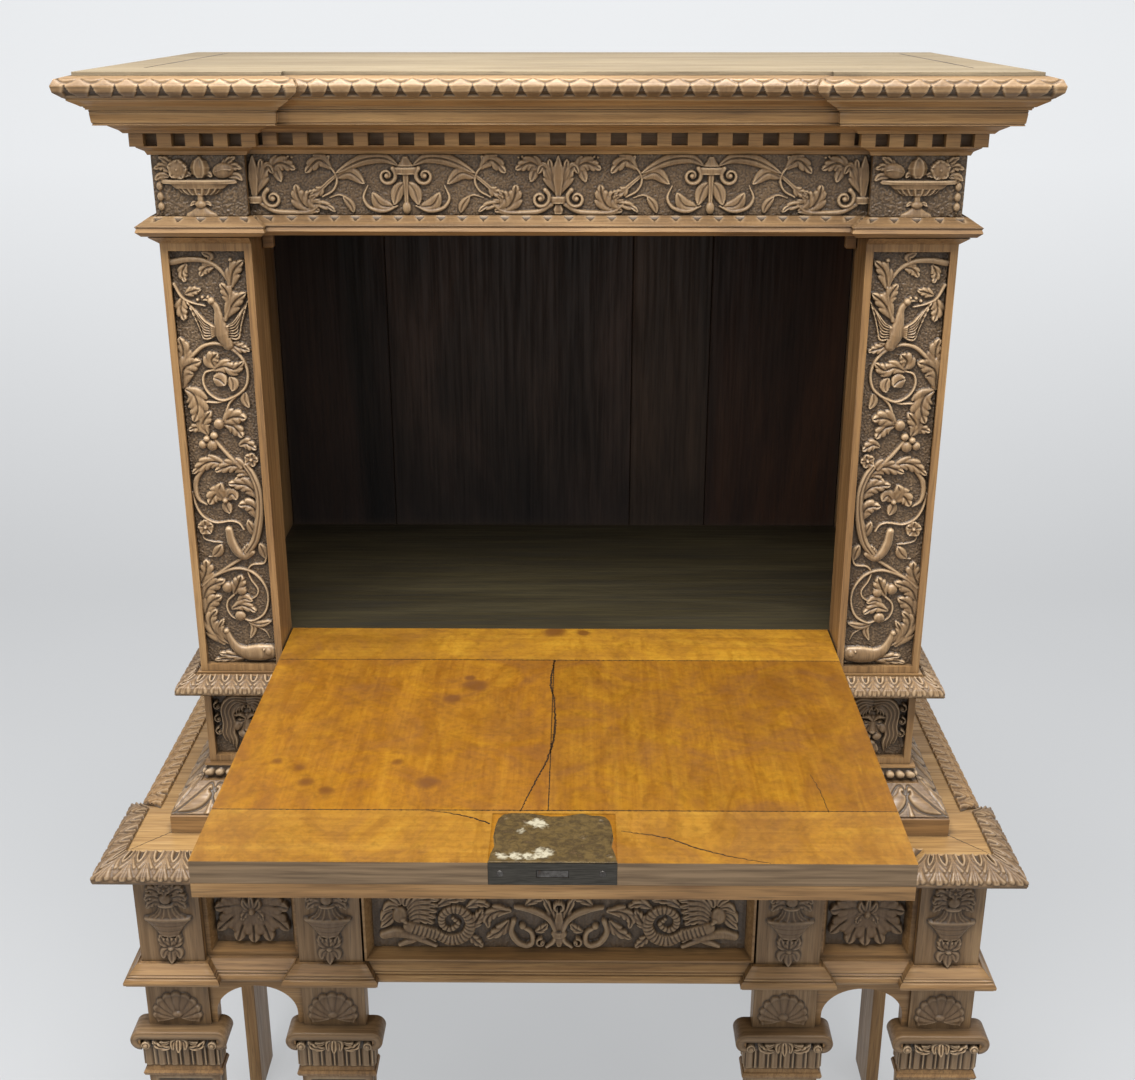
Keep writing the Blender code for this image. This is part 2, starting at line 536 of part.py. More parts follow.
def build_flap(honey, wood, iron, brass, body, bolt_body):
    """The flap lying open: two rails and two boards on a facing, with its pivots and lock."""
    rear_rail = FLAP_REAR - FLAP_RAIL
    front_rail = FLAP_FRONT + FLAP_RAIL
    low, high = LINING_UNDER + GAP, FLAP_TOP
    rail = node("flap_rear_rail", block((-FLAP_HALF, rear_rail, low), (FLAP_HALF, FLAP_REAR, high)), honey, body)
    for x0, x1, side in ((-FLAP_HALF, BOARD_JOINT, "left"), (BOARD_JOINT + GAP, FLAP_HALF, "right")):
        board = block((x0, front_rail + GAP, low), (x1, rear_rail - GAP, high))
        node(f"flap_board_{side}", board, honey, body)
    notch = lock_outline(GAP)
    outline = [
        (-FLAP_HALF, front_rail), (FLAP_HALF, front_rail), (FLAP_HALF, FLAP_FRONT),
        (notch[0][0], FLAP_FRONT), *notch, (notch[-1][0], FLAP_FRONT), (-FLAP_HALF, FLAP_FRONT),
    ]
    node("flap_front_rail", prism_along_z(outline, low, high), honey, body)
    facing = node("flap_facing", block((-FLAP_HALF, FLAP_FRONT, FLAP_UNDER), (FLAP_HALF, FLAP_REAR, LINING_UNDER)), wood, body)
    field = block(
        (-FLAP_HALF + FACING_MARGIN, FLAP_FRONT + FACING_MARGIN, FLAP_UNDER - FACING_SINK),
        (FLAP_HALF - FACING_MARGIN, FLAP_REAR - FACING_MARGIN, FLAP_UNDER + FACING_SINK),
    )
    combine(facing, field, "DIFFERENCE")
    for side, sign in (("left", -1), ("right", 1)):
        ends = sorted((sign * (FLAP_HALF - PIVOT_IN_FLAP), sign * (OPENING_HALF + PIVOT_IN_PILASTER)))
        pivot = node(f"flap_pivot_{side}", pin(*ends, PIVOT_RADIUS), iron, body)
        pivot.data.shade_smooth()
        pivot.data.set_sharp_from_angle(angle=math.radians(40))
        bore = sorted((sign * (FLAP_HALF - PIVOT_IN_FLAP - GAP), sign * (FLAP_HALF + GAP)))
        combine(rail, pin(*bore, PIVOT_RADIUS + PIVOT_PLAY), "DIFFERENCE")
    plate = [*lock_outline(0.0), (-LOCK_WIDTH / 2, FLAP_FRONT), (LOCK_WIDTH / 2, FLAP_FRONT)]
    case = node("lock_case", prism_along_z(plate, low, high), brass, body)
    middle = FLAP_TOP - FLAP_LINING / 2
    slot = block(
        (-BOLT_WIDTH / 2 - BOLT_PLAY, FLAP_FRONT - BOLT_THROW, middle - BOLT_THICK / 2 - BOLT_PLAY),
        (BOLT_WIDTH / 2 + BOLT_PLAY, FLAP_FRONT + BOLT_LENGTH + BOLT_PLAY, middle + BOLT_THICK / 2 + BOLT_PLAY),
    )
    combine(case, slot, "DIFFERENCE")
    bolt = block(
        (-BOLT_WIDTH / 2, FLAP_FRONT, middle - BOLT_THICK / 2),
        (BOLT_WIDTH / 2, FLAP_FRONT + BOLT_LENGTH, middle + BOLT_THICK / 2),
    )
    node("lock_bolt", bolt, iron, bolt_body)


def stand_top_plan():
    """The stand top's border, broken forward over each front leg and outward at the front corners."""
    recess = LEG_FACE + STAND_RECESS
    side = OUTER_LEG_OUTER - SIDE_RECESS
    left = [
        (-side, CASE_DEPTH, -1, 0),
        (-side, LEG_BACK, -1, 1),
        (-OUTER_LEG_OUTER, LEG_BACK, -1, 1),
        (-OUTER_LEG_OUTER, LEG_FACE, -1, -1),
        (-OUTER_LEG_INNER, LEG_FACE, 1, -1),
        (-OUTER_LEG_INNER, recess, 1, -1),
        (-INNER_LEG_OUTER, recess, -1, -1),
        (-INNER_LEG_OUTER, LEG_FACE, -1, -1),
        (-INNER_LEG_INNER, LEG_FACE, 1, -1),
        (-INNER_LEG_INNER, recess, 1, -1),
    ]
    return left + mirrored_plan(left)[::-1]


def leg_plan(middle, grow=0.0):
    """The square plan of a front leg, grown by a clearance."""
    x0, x1 = middle - LEG_WIDTH / 2 - grow, middle + LEG_WIDTH / 2 + grow
    y0, y1 = LEG_FACE - grow, LEG_BACK + grow
    return [(x0, y0, -1, -1), (x1, y0, 1, -1), (x1, y1, 1, 1), (x0, y1, -1, 1)]


def shaft_plan(middle):
    """The plan of a front leg below its collar, flat at the back."""
    x0, x1 = middle - LEG_WIDTH / 2, middle + LEG_WIDTH / 2
    return [(x0, LEG_FACE, -1, -1), (x1, LEG_FACE, 1, -1), (x1, SHAFT_BACK, 1, 0), (x0, SHAFT_BACK, -1, 0)]


def clear_collar(piece, middle):
    """Lets the end of a piece in around the collar of the leg beside it."""
    profile = moulded(COLLAR_SHAPE, COLLAR_REACH, COLLAR_UNDER - GAP, BLOCK_UNDER + GAP)
    combine(piece, stack(leg_plan(middle, 2 * GAP), profile), "DIFFERENCE")


def capital_outline(middle):
    """A leg's cushion capital with its half-round ends, as (x, z) points."""
    radius = LEG_CAPITAL_HEIGHT / 2
    centre = LEG_WIDTH / 2 + LEG_CAPITAL_SPREAD - radius
    turns = [math.pi * (i / LEG_CAPITAL_SIDES - 0.5) for i in range(LEG_CAPITAL_SIDES + 1)]
    right = [(centre + radius * math.cos(a), radius * math.sin(a)) for a in turns]
    left = [(-x, -z) for x, z in right]
    return [(middle + x, SHELL_UNDER - radius + z) for x, z in right + left]


def build_leg(number, middle, wood, body):
    """A front leg: a deep block with its collar, and below that a shallow carved support down to the floor."""
    block_profile = [*moulded(COLLAR_SHAPE, COLLAR_REACH, COLLAR_UNDER, BLOCK_UNDER), (0, STAND_UNDER - GAP)]
    leg = node(f"front_leg_{number}", stack(leg_plan(middle), block_profile), wood, body)
    shaft_profile = [
        *moulded(LEG_BASE_SHAPE, LEG_BASE_REACH, 0.0, LEG_BASE_HEIGHT),
        (-SHAFT_TAPER, LEG_BASE_HEIGHT + EASED_EDGE),
        (SHAFT_SWELL, NECK_RING_UNDER - EASED_EDGE),
        *moulded(NECK_RING_SHAPE, NECK_RING_REACH, NECK_RING_UNDER, NECK_UNDER),
        (NECK_REACH, LEG_CAPITAL_UNDER),
        (0, LEG_CAPITAL_UNDER + LEG_JOINT),
        (0, COLLAR_UNDER - GAP),
        (-LEG_JOINT / 2, COLLAR_UNDER + LEG_JOINT),
    ]
    combine(leg, stack(shaft_plan(middle), shaft_profile), "UNION")
    front = LEG_FACE - LEG_CAPITAL_REACH
    combine(leg, prism_along_y(capital_outline(middle), front, SHAFT_BACK - LEG_JOINT / 2), "UNION")
    field = block(
        (middle - LEG_CAPITAL_FIELD / 2, front - LEG_CAPITAL_SINK, LEG_CAPITAL_UNDER - LEG_CAPITAL_STRAP),
        (middle + LEG_CAPITAL_FIELD / 2, front + LEG_CAPITAL_SINK, SHELL_UNDER - LEG_CAPITAL_STRAP),
    )
    combine(leg, field, "DIFFERENCE")


def run_outline(face):
    """The legs' collar moulding carried on between the legs, as (y, z) points from its foot up to its top."""
    return [(face - p, z) for p, z in moulded(COLLAR_SHAPE, COLLAR_REACH, COLLAR_UNDER, BLOCK_UNDER)]


def build_apron(side, wood, body):
    """Rosette panel, moulding and arch between an outer and an inner front leg."""
    sign = -1 if side == "left" else 1
    x0, x1 = sorted((sign * (INNER_LEG_OUTER + GAP), sign * (OUTER_LEG_INNER - GAP)))
    face, top, foot = LEG_FACE + STAND_RECESS, STAND_UNDER - GAP, SHELL_UNDER + 2 * GAP
    back = face + APRON_THICK
    arch_face, arch_back = LEG_FACE + ARCH_SET, LEG_FACE + ARCH_SET + ARCH_THICK
    outline = [
        (back, top), (back, COLLAR_UNDER), (arch_back, COLLAR_UNDER - GAP), (arch_back, foot), (arch_face, foot),
        (arch_face, COLLAR_UNDER - GAP), *run_outline(face), (face, top),
    ]
    apron = node(f"arched_apron_{side}", prism_along_x(outline, x0, x1), wood, body)
    low = (x0 + APRON_FRAME / 2, face, BLOCK_UNDER + APRON_FRAME / 2)
    high = (x1 - APRON_FRAME / 2, face, top - APRON_FRAME / 2)
    combine(apron, sunk_field(low, high, APRON_FRAME / 2, APRON_SINK), "DIFFERENCE")
    middle = (x0 + x1) / 2
    turns = [math.pi * i / ARCH_SIDES for i in range(ARCH_SIDES + 1)]
    spring = foot + ARCH_FOOT
    arch = [(middle + ARCH_WIDTH / 2 * math.cos(a), spring + ARCH_RISE * math.sin(a)) for a in turns]
    arch += [(middle - ARCH_WIDTH / 2, foot - ARCH_FOOT), (middle + ARCH_WIDTH / 2, foot - ARCH_FOOT)]
    combine(apron, prism_along_y(arch, arch_face - ARCH_THICK, arch_back + ARCH_THICK), "DIFFERENCE")
    clear_collar(apron, sign * INNER_LEG_X)
    clear_collar(apron, sign * OUTER_LEG_X)


def build_stand(wood, dark, body):
    """Stand top, legs, posts, rails and runners."""
    profile = moulded(STAND_TOP_SHAPE, STAND_TOP_REACH, STAND_UNDER, STAND_TOP)
    top = node("stand_top", stack(stand_top_plan(), profile), wood, body)
    width, depth, _ = DRAWER_BOLT
    bolt_y = DRAWER_INNER_FACE + GAP + DRAWER_LOCK[1] / 2
    mortise = block(
        (-width / 2 - BOLT_PLAY, bolt_y - depth / 2 - BOLT_PLAY, STAND_UNDER - DRAWER_BOLT_THROW),
        (width / 2 + BOLT_PLAY, bolt_y + depth / 2 + BOLT_PLAY, STAND_UNDER + DRAWER_BOLT_THROW),
    )
    combine(top, mortise, "DIFFERENCE")
    for number, middle in enumerate((-OUTER_LEG_X, -INNER_LEG_X, INNER_LEG_X, OUTER_LEG_X), 1):
        build_leg(number, middle, wood, body)
    rail_high = STAND_UNDER - GAP
    for side, sign in (("left", -1), ("right", 1)):
        build_apron(side, wood, body)
        x0, x1 = sign * REAR_POST_X - REAR_POST_WIDTH / 2, sign * REAR_POST_X + REAR_POST_WIDTH / 2
        post = block((x0, POST_FRONT, 0), (x1, POST_BACK, rail_high))
        node(f"rear_post_{side}", post, wood, body, eased=True)
        x0, x1 = sign * RAIL_X - RAIL_THICK / 2, sign * RAIL_X + RAIL_THICK / 2
        rail = block((x0, LEG_BACK + GAP, STAND_UNDER - SIDE_RAIL_HEIGHT), (x1, POST_FRONT - GAP, rail_high))
        node(f"stand_side_rail_{side}", rail, wood, body, eased=True)
        x0, x1 = sorted((sign * DRAWER_HALF, sign * (DRAWER_HALF - RUNNER_WIDTH)))
        runner = block(
            (x0, LEG_BACK + COLLAR_REACH + GAP, DRAWER_UNDER - GAP - RUNNER_THICK),
            (x1, BACK_RAIL_FRONT - GAP, DRAWER_UNDER - GAP),
        )
        node(f"drawer_runner_{side}", runner, dark, body)
    half = REAR_POST_X - REAR_POST_WIDTH / 2 - GAP
    node("stand_back_rail", block((-half, BACK_RAIL_FRONT, STAND_UNDER - BACK_RAIL_HEIGHT), (half, POST_BACK, rail_high)), wood, body, eased=True)
    face = LEG_FACE + STAND_RECESS
    outline = [(DRAWER_INNER_FACE, BLOCK_UNDER), (DRAWER_INNER_FACE, COLLAR_UNDER), *run_outline(face)]
    half = INNER_LEG_INNER - GAP
    rail = node("drawer_rail", prism_along_x(outline, -half, half), wood, body)
    clear_collar(rail, -INNER_LEG_X)
    clear_collar(rail, INNER_LEG_X)


def build_drawer(wood, pale, brass, iron, body, bolt_body):
    """The frieze drawer with its lock."""
    low, high = (-DRAWER_HALF, DRAWER_FACE, DRAWER_UNDER), (DRAWER_HALF, DRAWER_INNER_FACE, DRAWER_TOP)
    front = sunk_front(low, high, PANEL_EDGE, DRAWER_FRAME, DRAWER_SINK)
    node("drawer_front", front, wood, body)
    side_y = DRAWER_INNER_FACE + GAP
    side_top = DRAWER_TOP - DRAWER_SIDE_DROP
    inner = DRAWER_HALF - DRAWER_WOOD
    for side, sign in (("left", -1), ("right", 1)):
        x0, x1 = sorted((sign * DRAWER_HALF, sign * inner))
        node(f"drawer_side_{side}", block((x0, side_y, DRAWER_UNDER), (x1, DRAWER_BACK, side_top)), pale, body, eased=True)
    back_front = DRAWER_BACK - DRAWER_WOOD
    x = inner - GAP
    node("drawer_back", block((-x, back_front, DRAWER_UNDER), (x, DRAWER_BACK, side_top)), pale, body, eased=True)
    low = DRAWER_UNDER + DRAWER_BOTTOM_RAISE
    bottom = block((-x, side_y, low), (x, back_front - GAP, low + DRAWER_BOTTOM_THICK))
    node("drawer_bottom", bottom, pale, body)
    width, depth, height = DRAWER_LOCK
    high = DRAWER_TOP - GAP
    case = node("drawer_lock_case", block((-width / 2, side_y, high - height), (width / 2, side_y + depth, high)), brass, body)
    width, thick, length = DRAWER_BOLT
    bolt_y = side_y + depth / 2
    play = BOLT_PLAY
    slot = block(
        (-width / 2 - play, bolt_y - thick / 2 - play, high - length - play),
        (width / 2 + play, bolt_y + thick / 2 + play, high + DRAWER_BOLT_THROW),
    )
    combine(case, slot, "DIFFERENCE")
    bolt = block((-width / 2, bolt_y - thick / 2, high - length), (width / 2, bolt_y + thick / 2, high))
    node("drawer_lock_bolt", bolt, iron, bolt_body)


def main():
    for old in list(bpy.data.objects):
        bpy.data.objects.remove(old)
    walnut = material("carved_walnut", (0.36, 0.23, 0.12), 0.55)
    dark = material("dark_interior", (0.035, 0.022, 0.016), 0.70)
    honey = material("honey_walnut", (0.50, 0.25, 0.07), 0.42)
    pale = material("drawer_wood", (0.42, 0.29, 0.16), 0.65)
    iron = material("iron", (0.10, 0.095, 0.09), 0.45, 1.0)
    brass = material("brass", (0.42, 0.32, 0.16), 0.40, 1.0)
    cabinet = empty("cabinet")
    flap = empty("flap", cabinet, (0.0, AXIS_Y, AXIS_Z))
    lock_bolt = empty("lock_bolt_slide", flap, (0.0, FLAP_FRONT, FLAP_TOP - FLAP_LINING / 2))
    drawer = empty("drawer", cabinet, (0.0, DRAWER_FACE, DRAWER_UNDER))
    drawer_bolt = empty("drawer_bolt_slide", drawer, (0.0, DRAWER_INNER_FACE, DRAWER_TOP))
    build_stand(walnut, dark, cabinet)
    build_carcass(walnut, dark, cabinet)
    build_pedestal("left", walnut, cabinet)
    build_pedestal("right", walnut, cabinet)
    build_head(walnut, cabinet)
    build_stops(walnut, cabinet)
    build_flap(honey, walnut, iron, brass, flap, lock_bolt)
    build_drawer(walnut, pale, brass, iron, drawer, drawer_bolt)
    cabinet.location.y = -MIDDLE_Y


main()
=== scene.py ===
"""Looks of a carved fall-front cabinet on a stand: finishes, carving, metalwork, light and camera.

Carvings are heights over a flat rectangle, written in millimetres, that are laid on a wall or along a
moulding. Left-hand carvings are written out and the right-hand ones mirror them.
"""

import json
import math

import bmesh
import bpy
import numpy as np
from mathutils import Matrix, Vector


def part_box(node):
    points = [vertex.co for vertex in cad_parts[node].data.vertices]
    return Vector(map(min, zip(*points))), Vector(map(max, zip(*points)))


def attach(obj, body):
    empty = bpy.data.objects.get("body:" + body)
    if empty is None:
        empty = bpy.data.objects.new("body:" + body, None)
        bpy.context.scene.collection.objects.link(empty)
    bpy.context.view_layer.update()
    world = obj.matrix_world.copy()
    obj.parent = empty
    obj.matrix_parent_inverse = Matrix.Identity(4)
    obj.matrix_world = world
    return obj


MM = 0.001

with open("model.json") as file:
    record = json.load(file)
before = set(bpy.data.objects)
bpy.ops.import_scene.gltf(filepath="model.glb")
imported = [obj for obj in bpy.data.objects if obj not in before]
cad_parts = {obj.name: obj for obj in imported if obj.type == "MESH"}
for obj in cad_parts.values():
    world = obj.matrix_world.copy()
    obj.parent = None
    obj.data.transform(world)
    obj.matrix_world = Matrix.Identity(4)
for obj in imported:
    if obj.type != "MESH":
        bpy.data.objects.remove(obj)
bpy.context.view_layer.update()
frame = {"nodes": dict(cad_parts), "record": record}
NODES = frame["nodes"]

# Camera, fitted to the photograph's 1135 x 1080 frame
IMAGE_WIDTH = 1135
FOCAL_PIXELS = 1450.77
CAMERA_PLACE = (0.0238, -1.6459, 1.7862)
CAMERA_DIP = 0.3611
CAMERA_TURN = 0.0082

# Sunk panels of the pilasters and pedestals, as the solids have them
PANEL_FRAME = 0.0085
PANEL_SINK = 0.010
CAPITAL_HEIGHT = 0.008  # of a pilaster, above its panel

# How carvings are made and laid
SEAT = 0.0003  # a carving's ground above the wood that it lies on
MITRE_ZONE = 0.040  # stretch of a run that leans with its mitre
CURVE_STEPS = 12  # points between two knots of a curve
SPIRAL_POINTS = 12  # in each turn
BERRY_PITCH = 2.2  # radii between the middles of two berries
PUNCH_LEVEL, PUNCH_GAIN = 0.38, 4  # of the noise that makes a punched ground
HOLLOW_CELLS = 7  # over which a point counts as hollow or proud
HOLLOW_DEPTH, STAIN_DEPTH, WORN_HIGHLIGHT_DEPTH = 1.8, 1.2, 1.6  # millimetres that paint a point in full
FRIEZE_MOTIF = -170  # millimetres from the middle of the frieze to its inverted motif

# Sizes of the solids that their boxes don't give
STAND_RECESS = 0.012
SIDE_RECESS = 0.015
OUTER_LEG_X = 0.4985
INNER_LEG_X = 0.2945
LEG_WIDTH = 0.082
LEG_DEPTH = 0.100
LEG_BLOCK = 0.1405
COLLAR_HEIGHT = 0.0265
COLLAR_REACH = 0.0195
SHELL_BLOCK = 0.074
SHAFT_DEPTH = 0.024
CAPITAL_REACH = 0.018
CAPITAL_SPREAD = 0.0215
CAPITAL_STRAP = 0.009
CAPITAL_FIELD = 0.100
CAPITAL_SINK = 0.009
LEG_CAPITAL_HEIGHT = 0.026
NECK_HEIGHT = 0.035
NECK_REACH = 0.0066
NECK_RING_HEIGHT = 0.014
SWAG_DROP = 0.003  # by which the capital's swags hang over the neck
SCROLL_EYE = 43.7  # millimetres from a leg's middle to the eyes of its capital's scrolls
SHAFT_TAPER = 0.008
SHAFT_SWELL = 0.003
LEG_BASE_TOP = 0.0762
APRON_FRAME = 0.011
APRON_SINK = 0.016
DRAWER_FRAME = 0.0105
DRAWER_SINK = 0.018
FACING_MARGIN = 0.070
FACING_SINK = 0.005
CORNICE_REACH = 0.066
TOP_REACH = 0.0745
ARCHITRAVE_REACH = 0.0206
CAP_REACH = 0.0261
FOOT_REACH = 0.0454
STAND_TOP_REACH = 0.035

# Tones from dark to light
WALNUT = ((0.140, 0.070, 0.025), (0.280, 0.152, 0.056), (0.410, 0.240, 0.098))
CARVED = ((0.112, 0.061, 0.025), (0.205, 0.119, 0.052), (0.320, 0.200, 0.096))
DARK = ((0.008, 0.005, 0.003), (0.024, 0.014, 0.009), (0.048, 0.028, 0.018))
OLIVE = ((0.010, 0.0072, 0.0024), (0.030, 0.0225, 0.0085), (0.058, 0.046, 0.020))
PLANKS = (
    ((0.003, 0.002, 0.002), (0.012, 0.007, 0.006), (0.030, 0.016, 0.012)),
    ((0.007, 0.005, 0.005), (0.022, 0.014, 0.011), (0.048, 0.029, 0.022)),
    ((0.010, 0.006, 0.004), (0.032, 0.019, 0.012), (0.062, 0.037, 0.023)),
    ((0.008, 0.003, 0.002), (0.026, 0.010, 0.005), (0.055, 0.022, 0.010)),
)
# Painted light: a lighter copy of the walnut for mouldings that the lamps leave too dark
PAINTED_LIGHT_WALNUT = ((0.190, 0.097, 0.034), (0.375, 0.206, 0.074), (0.540, 0.320, 0.128))
# The stand's board: its paler honey tone, lightened further as painted light
PALE_HONEY_AND_LIT = ((0.165, 0.087, 0.029), (0.330, 0.186, 0.064), (0.475, 0.290, 0.110))
HONEY = ((0.182, 0.065, 0.003), (0.270, 0.109, 0.006), (0.348, 0.158, 0.012))
# Copies of the honey polish for the flap: the rear and front rails lightened as painted light, the right
# board darkened as painted shade
HONEY_LIT_REAR = ((0.215, 0.088, 0.005), (0.330, 0.151, 0.011), (0.425, 0.220, 0.021))
HONEY_SHADED_RIGHT = ((0.155, 0.056, 0.003), (0.232, 0.094, 0.005), (0.300, 0.138, 0.010))
HONEY_LIT_FRONT = ((0.190, 0.077, 0.006), (0.285, 0.129, 0.013), (0.365, 0.187, 0.025))
# Dust and painted sheen on the top's boards
DUST_AND_SHEEN = ((0.175, 0.127, 0.072), (0.255, 0.194, 0.114), (0.330, 0.258, 0.158))
PALE = ((0.25, 0.165, 0.085), (0.42, 0.290, 0.160), (0.55, 0.400, 0.240))
JOINT = ((0.010, 0.006, 0.003), (0.022, 0.011, 0.005), (0.040, 0.022, 0.010))
GREYED = ((0.115, 0.072, 0.036), (0.235, 0.155, 0.085))
OLD_BRASS = ((0.125, 0.080, 0.026), (0.060, 0.038, 0.014))
STEEL = ((0.060, 0.055, 0.047), (0.095, 0.087, 0.074))
STAIN = (0.085, 0.047, 0.023)
# Pale tone of raised ridges: wear and painted highlight
WORN_AND_HIGHLIGHT = (0.64, 0.455, 0.270)
# Dark tone of a carving's low ground: partly its own darker tone, partly painted shade
GROUND_AND_SHADE = (0.050, 0.033, 0.019)
OLD_STAIN = (0.125, 0.045, 0.007)
OLD_PAINT = (0.40, 0.36, 0.26)
# Dirt and painted shade, for corners and carved hollows
DIRT_AND_SHADE = (0.052, 0.033, 0.019)
# Lighter dirt and painted shade for the gaps of the dentils
DENTIL_DIRT_AND_SHADE = (0.105, 0.062, 0.028)
# Grime and painted shade in the hollows of the lock plate
GRIME_AND_SHADE = (0.03, 0.025, 0.02)
IRON = ((0.16, 0.15, 0.14), (0.08, 0.072, 0.066))
IRON_RUST = (0.12, 0.07, 0.045)
BRASS_RUST = (0.10, 0.06, 0.03)
PLATE_RUST = (0.12, 0.07, 0.03)

# Dark spots on the flap, as x, y and radius in metres
FLAP_SPOTS = (
    (-0.098, -0.101, 0.015), (-0.105, -0.080, 0.007), (-0.122, -0.135, 0.010), (-0.298, -0.283, 0.006),
    (-0.271, -0.297, 0.006), (-0.259, -0.326, 0.009), (-0.235, -0.343, 0.009), (-0.169, -0.283, 0.006),
    (-0.132, -0.326, 0.011), (-0.006, 0.055, 0.016), (0.030, 0.052, 0.010),
)

# Carved stretches of the mouldings, as shares of reach and height, from the bottom up
TOP_EDGE = ((0.89, 0), (0.985, 0.21), (1, 0.43), (0.96, 0.66), (0.81, 0.75))
ARCHITRAVE_SLOPE = ((0.93, 0.48), (0.20, 0.93))
CAP_SLOPE = ((0.95, 0.13), (1, 0.19), (0.90, 0.35), (0.25, 0.80))
FOOT_SLOPE = ((0.96, 0.33), (0.22, 0.715))
FOOT_STEP = ((0.07, 0.735), (0.07, 0.95))
STAND_EDGE = ((0.95, 0.06), (1, 0.19), (0.95, 0.30), (0.75, 0.55), (0.35, 0.82), (0.06, 0.95))
COLLAR_CARVED = (
    (0.85, 0.02), (0.98, 0.10), (1, 0.22), (0.92, 0.34), (0.80, 0.39), (0.76, 0.46), (0.20, 0.95),
)
COLLAR_LINES = (0.06, 0.40, 0.52)  # shares of its girth
CORONA = ((0.68, 0.25), (0.705, 0.635))
CYMA = ((0.765, 0.72), (0.85, 0.81), (0.97, 0.92), (1, 1))

SIDES = ("front", "right", "back", "left")
HALVES = (("left", 1), ("right", -1))  # with the factor that mirrors the right one
ENDS = (("left", -1), ("right", 1))  # with the direction away from the middle

# Lock plate: half widths and lengths as shares, its screws, and its patches of paint with their sizes
LOCK_SIDE_V = np.array([0, 15, 33, 54, 68, 80, 88]) / 88
LOCK_SIDE_U = np.array([1.0, 0.975, 0.91, 0.95, 0.935, 0.90, 0.83])
LOCK_REAR_U = np.array([-1, -0.85, -0.5, -0.05, 0.2, 0.55, 0.75, 0.88, 1])
LOCK_REAR_V = np.array([0.97, 1.0, 1.0, 0.93, 0.94, 1.0, 0.955, 0.955, 0.93])
LOCK_SCREWS = ((-0.86, 0.90), (0.92, 0.14), (-0.90, 0.16), (0.52, 0.50))
LOCK_HOLE = (0.84, 0.86)
LOCK_PAINT = ((-0.30, 0.80, 19, 15), (-0.48, 0.12, 36, 10), (-0.15, 0.20, 17, 14), (-0.55, 0.62, 8, 8))
LOCK_FRONT_SCREWS = (("left", -0.82), ("right", 0.78))
SCREW = ((0, 1.5), (3.4, 1.5), (3.4, -0.1), (3.0, -0.5), (1.4, -0.75), (1.0, -0.3), (0, -0.3))

# Repeats of the carved mouldings, in millimetres
SCALE_PITCH = 25
NICK_PITCH = 24
WATER_LEAF_PITCH = 64
EDGE_LEAF_PITCH = 23
EDGE_FILLET = 0.08  # share of a leaf moulding's girth that stays plain along its foot
CAP_LEAF_PITCH = 19
REED_PITCH = 17
BEAD_PITCH = 11.8

# Studio, in metres and watts
FLOOR_HALF, FLOOR_FRONT = 7.0, -6.0
SWEEP_RADIUS, SWEEP_START, WALL_TOP = 1.2, 2.6, 6.0
FLOOR_TONES = ((0.27, 0.272, 0.275), (0.29, 0.292, 0.295))
BACKDROP_TINT = (0.96, 0.98, 1.0)
BACKDROP_GLOW = (0.42, 0.66)  # on the floor and high up, seen only directly and in gloss
WORLD_TINT, WORLD_STRENGTH = (0.93, 0.96, 1.0), 0.42
DAYLIGHT = (1.0, 0.98, 0.95)
LAMPS = (
    ("ceiling_panel", (-0.08, -1.0, 3.5), (0, -0.2, 1.0), (1.8, 1.5), 144, (1, 1, 1)),
    ("window_left", (-2.6, -2.6, 2.5), (0, 0, 1.1), (1.0, 1.3), 26, DAYLIGHT),
    ("window_right", (2.6, -2.6, 2.5), (0, 0, 1.1), (1.0, 1.3), 20, DAYLIGHT),
)
SENSOR_WIDTH = 36.0  # millimetres


# Reading the frame


def low(node):
    """The left, front, bottom corner of a solid."""
    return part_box(node)[0]


def high(node):
    """The right, rear, top corner of a solid."""
    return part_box(node)[1]


FACE_Y = low("frieze_block_left").y  # faces of the pilasters
BLOCK_TOP = low("stand_top").z
BLOCK_FOOT = BLOCK_TOP - LEG_BLOCK
SHELL_TOP = BLOCK_FOOT - COLLAR_HEIGHT
SHELL_FOOT = SHELL_TOP - SHELL_BLOCK
CAPITAL_FOOT = SHELL_FOOT - LEG_CAPITAL_HEIGHT
NECK_FOOT = CAPITAL_FOOT - NECK_HEIGHT
NECK_RING_FOOT = NECK_FOOT - NECK_RING_HEIGHT
LEG_FACE_Y = low("front_leg_1").y + COLLAR_REACH


# Carved reliefs


def travelled(path):
    """The distance along a path at each of its points."""
    return np.append(0, np.cumsum(np.hypot(*np.diff(path, axis=0).T)))


def curve(points, spacing=0.7):
    """Evenly spaced points on a smooth curve through the given ones."""
    knots = np.array(points, float)
    ends = np.vstack([2 * knots[0] - knots[1], knots, 2 * knots[-1] - knots[-2]])
    t = np.linspace(0, 1, CURVE_STEPS, endpoint=False)[:, None]
    stretches = []
    for a, b, c, d in zip(ends, ends[1:], ends[2:], ends[3:]):
        stretches.append(b + 0.5 * t * (c - a + t * (2 * a - 5 * b + 4 * c - d + t * (3 * (b - c) + d - a))))
    dense = np.vstack([*stretches, knots[-1:]])
    travel = travelled(dense)
    count = max(4, int(travel[-1] / spacing))
    even = np.linspace(0, travel[-1], count)
    return np.column_stack([np.interp(even, travel, dense[:, 0]), np.interp(even, travel, dense[:, 1])])


def spiral(u, v, radius, turns, start, eye=0.2):
    """Points of a volute that winds in from a starting angle in degrees, clockwise for negative turns."""
    t = np.linspace(0, 1, max(6, int(abs(turns) * SPIRAL_POINTS)))
    reach = radius * (1 - (1 - eye) * t)
    angle = math.radians(start) + 2 * math.pi * turns * t
    return list(zip(u + reach * np.cos(angle), v + reach * np.sin(angle)))


def sided(turn, *points, middle=0):
    """Points to the right of a middle line, or mirrored to its left where turn is -1."""
    return [(middle + turn * u, v) for u, v in points]


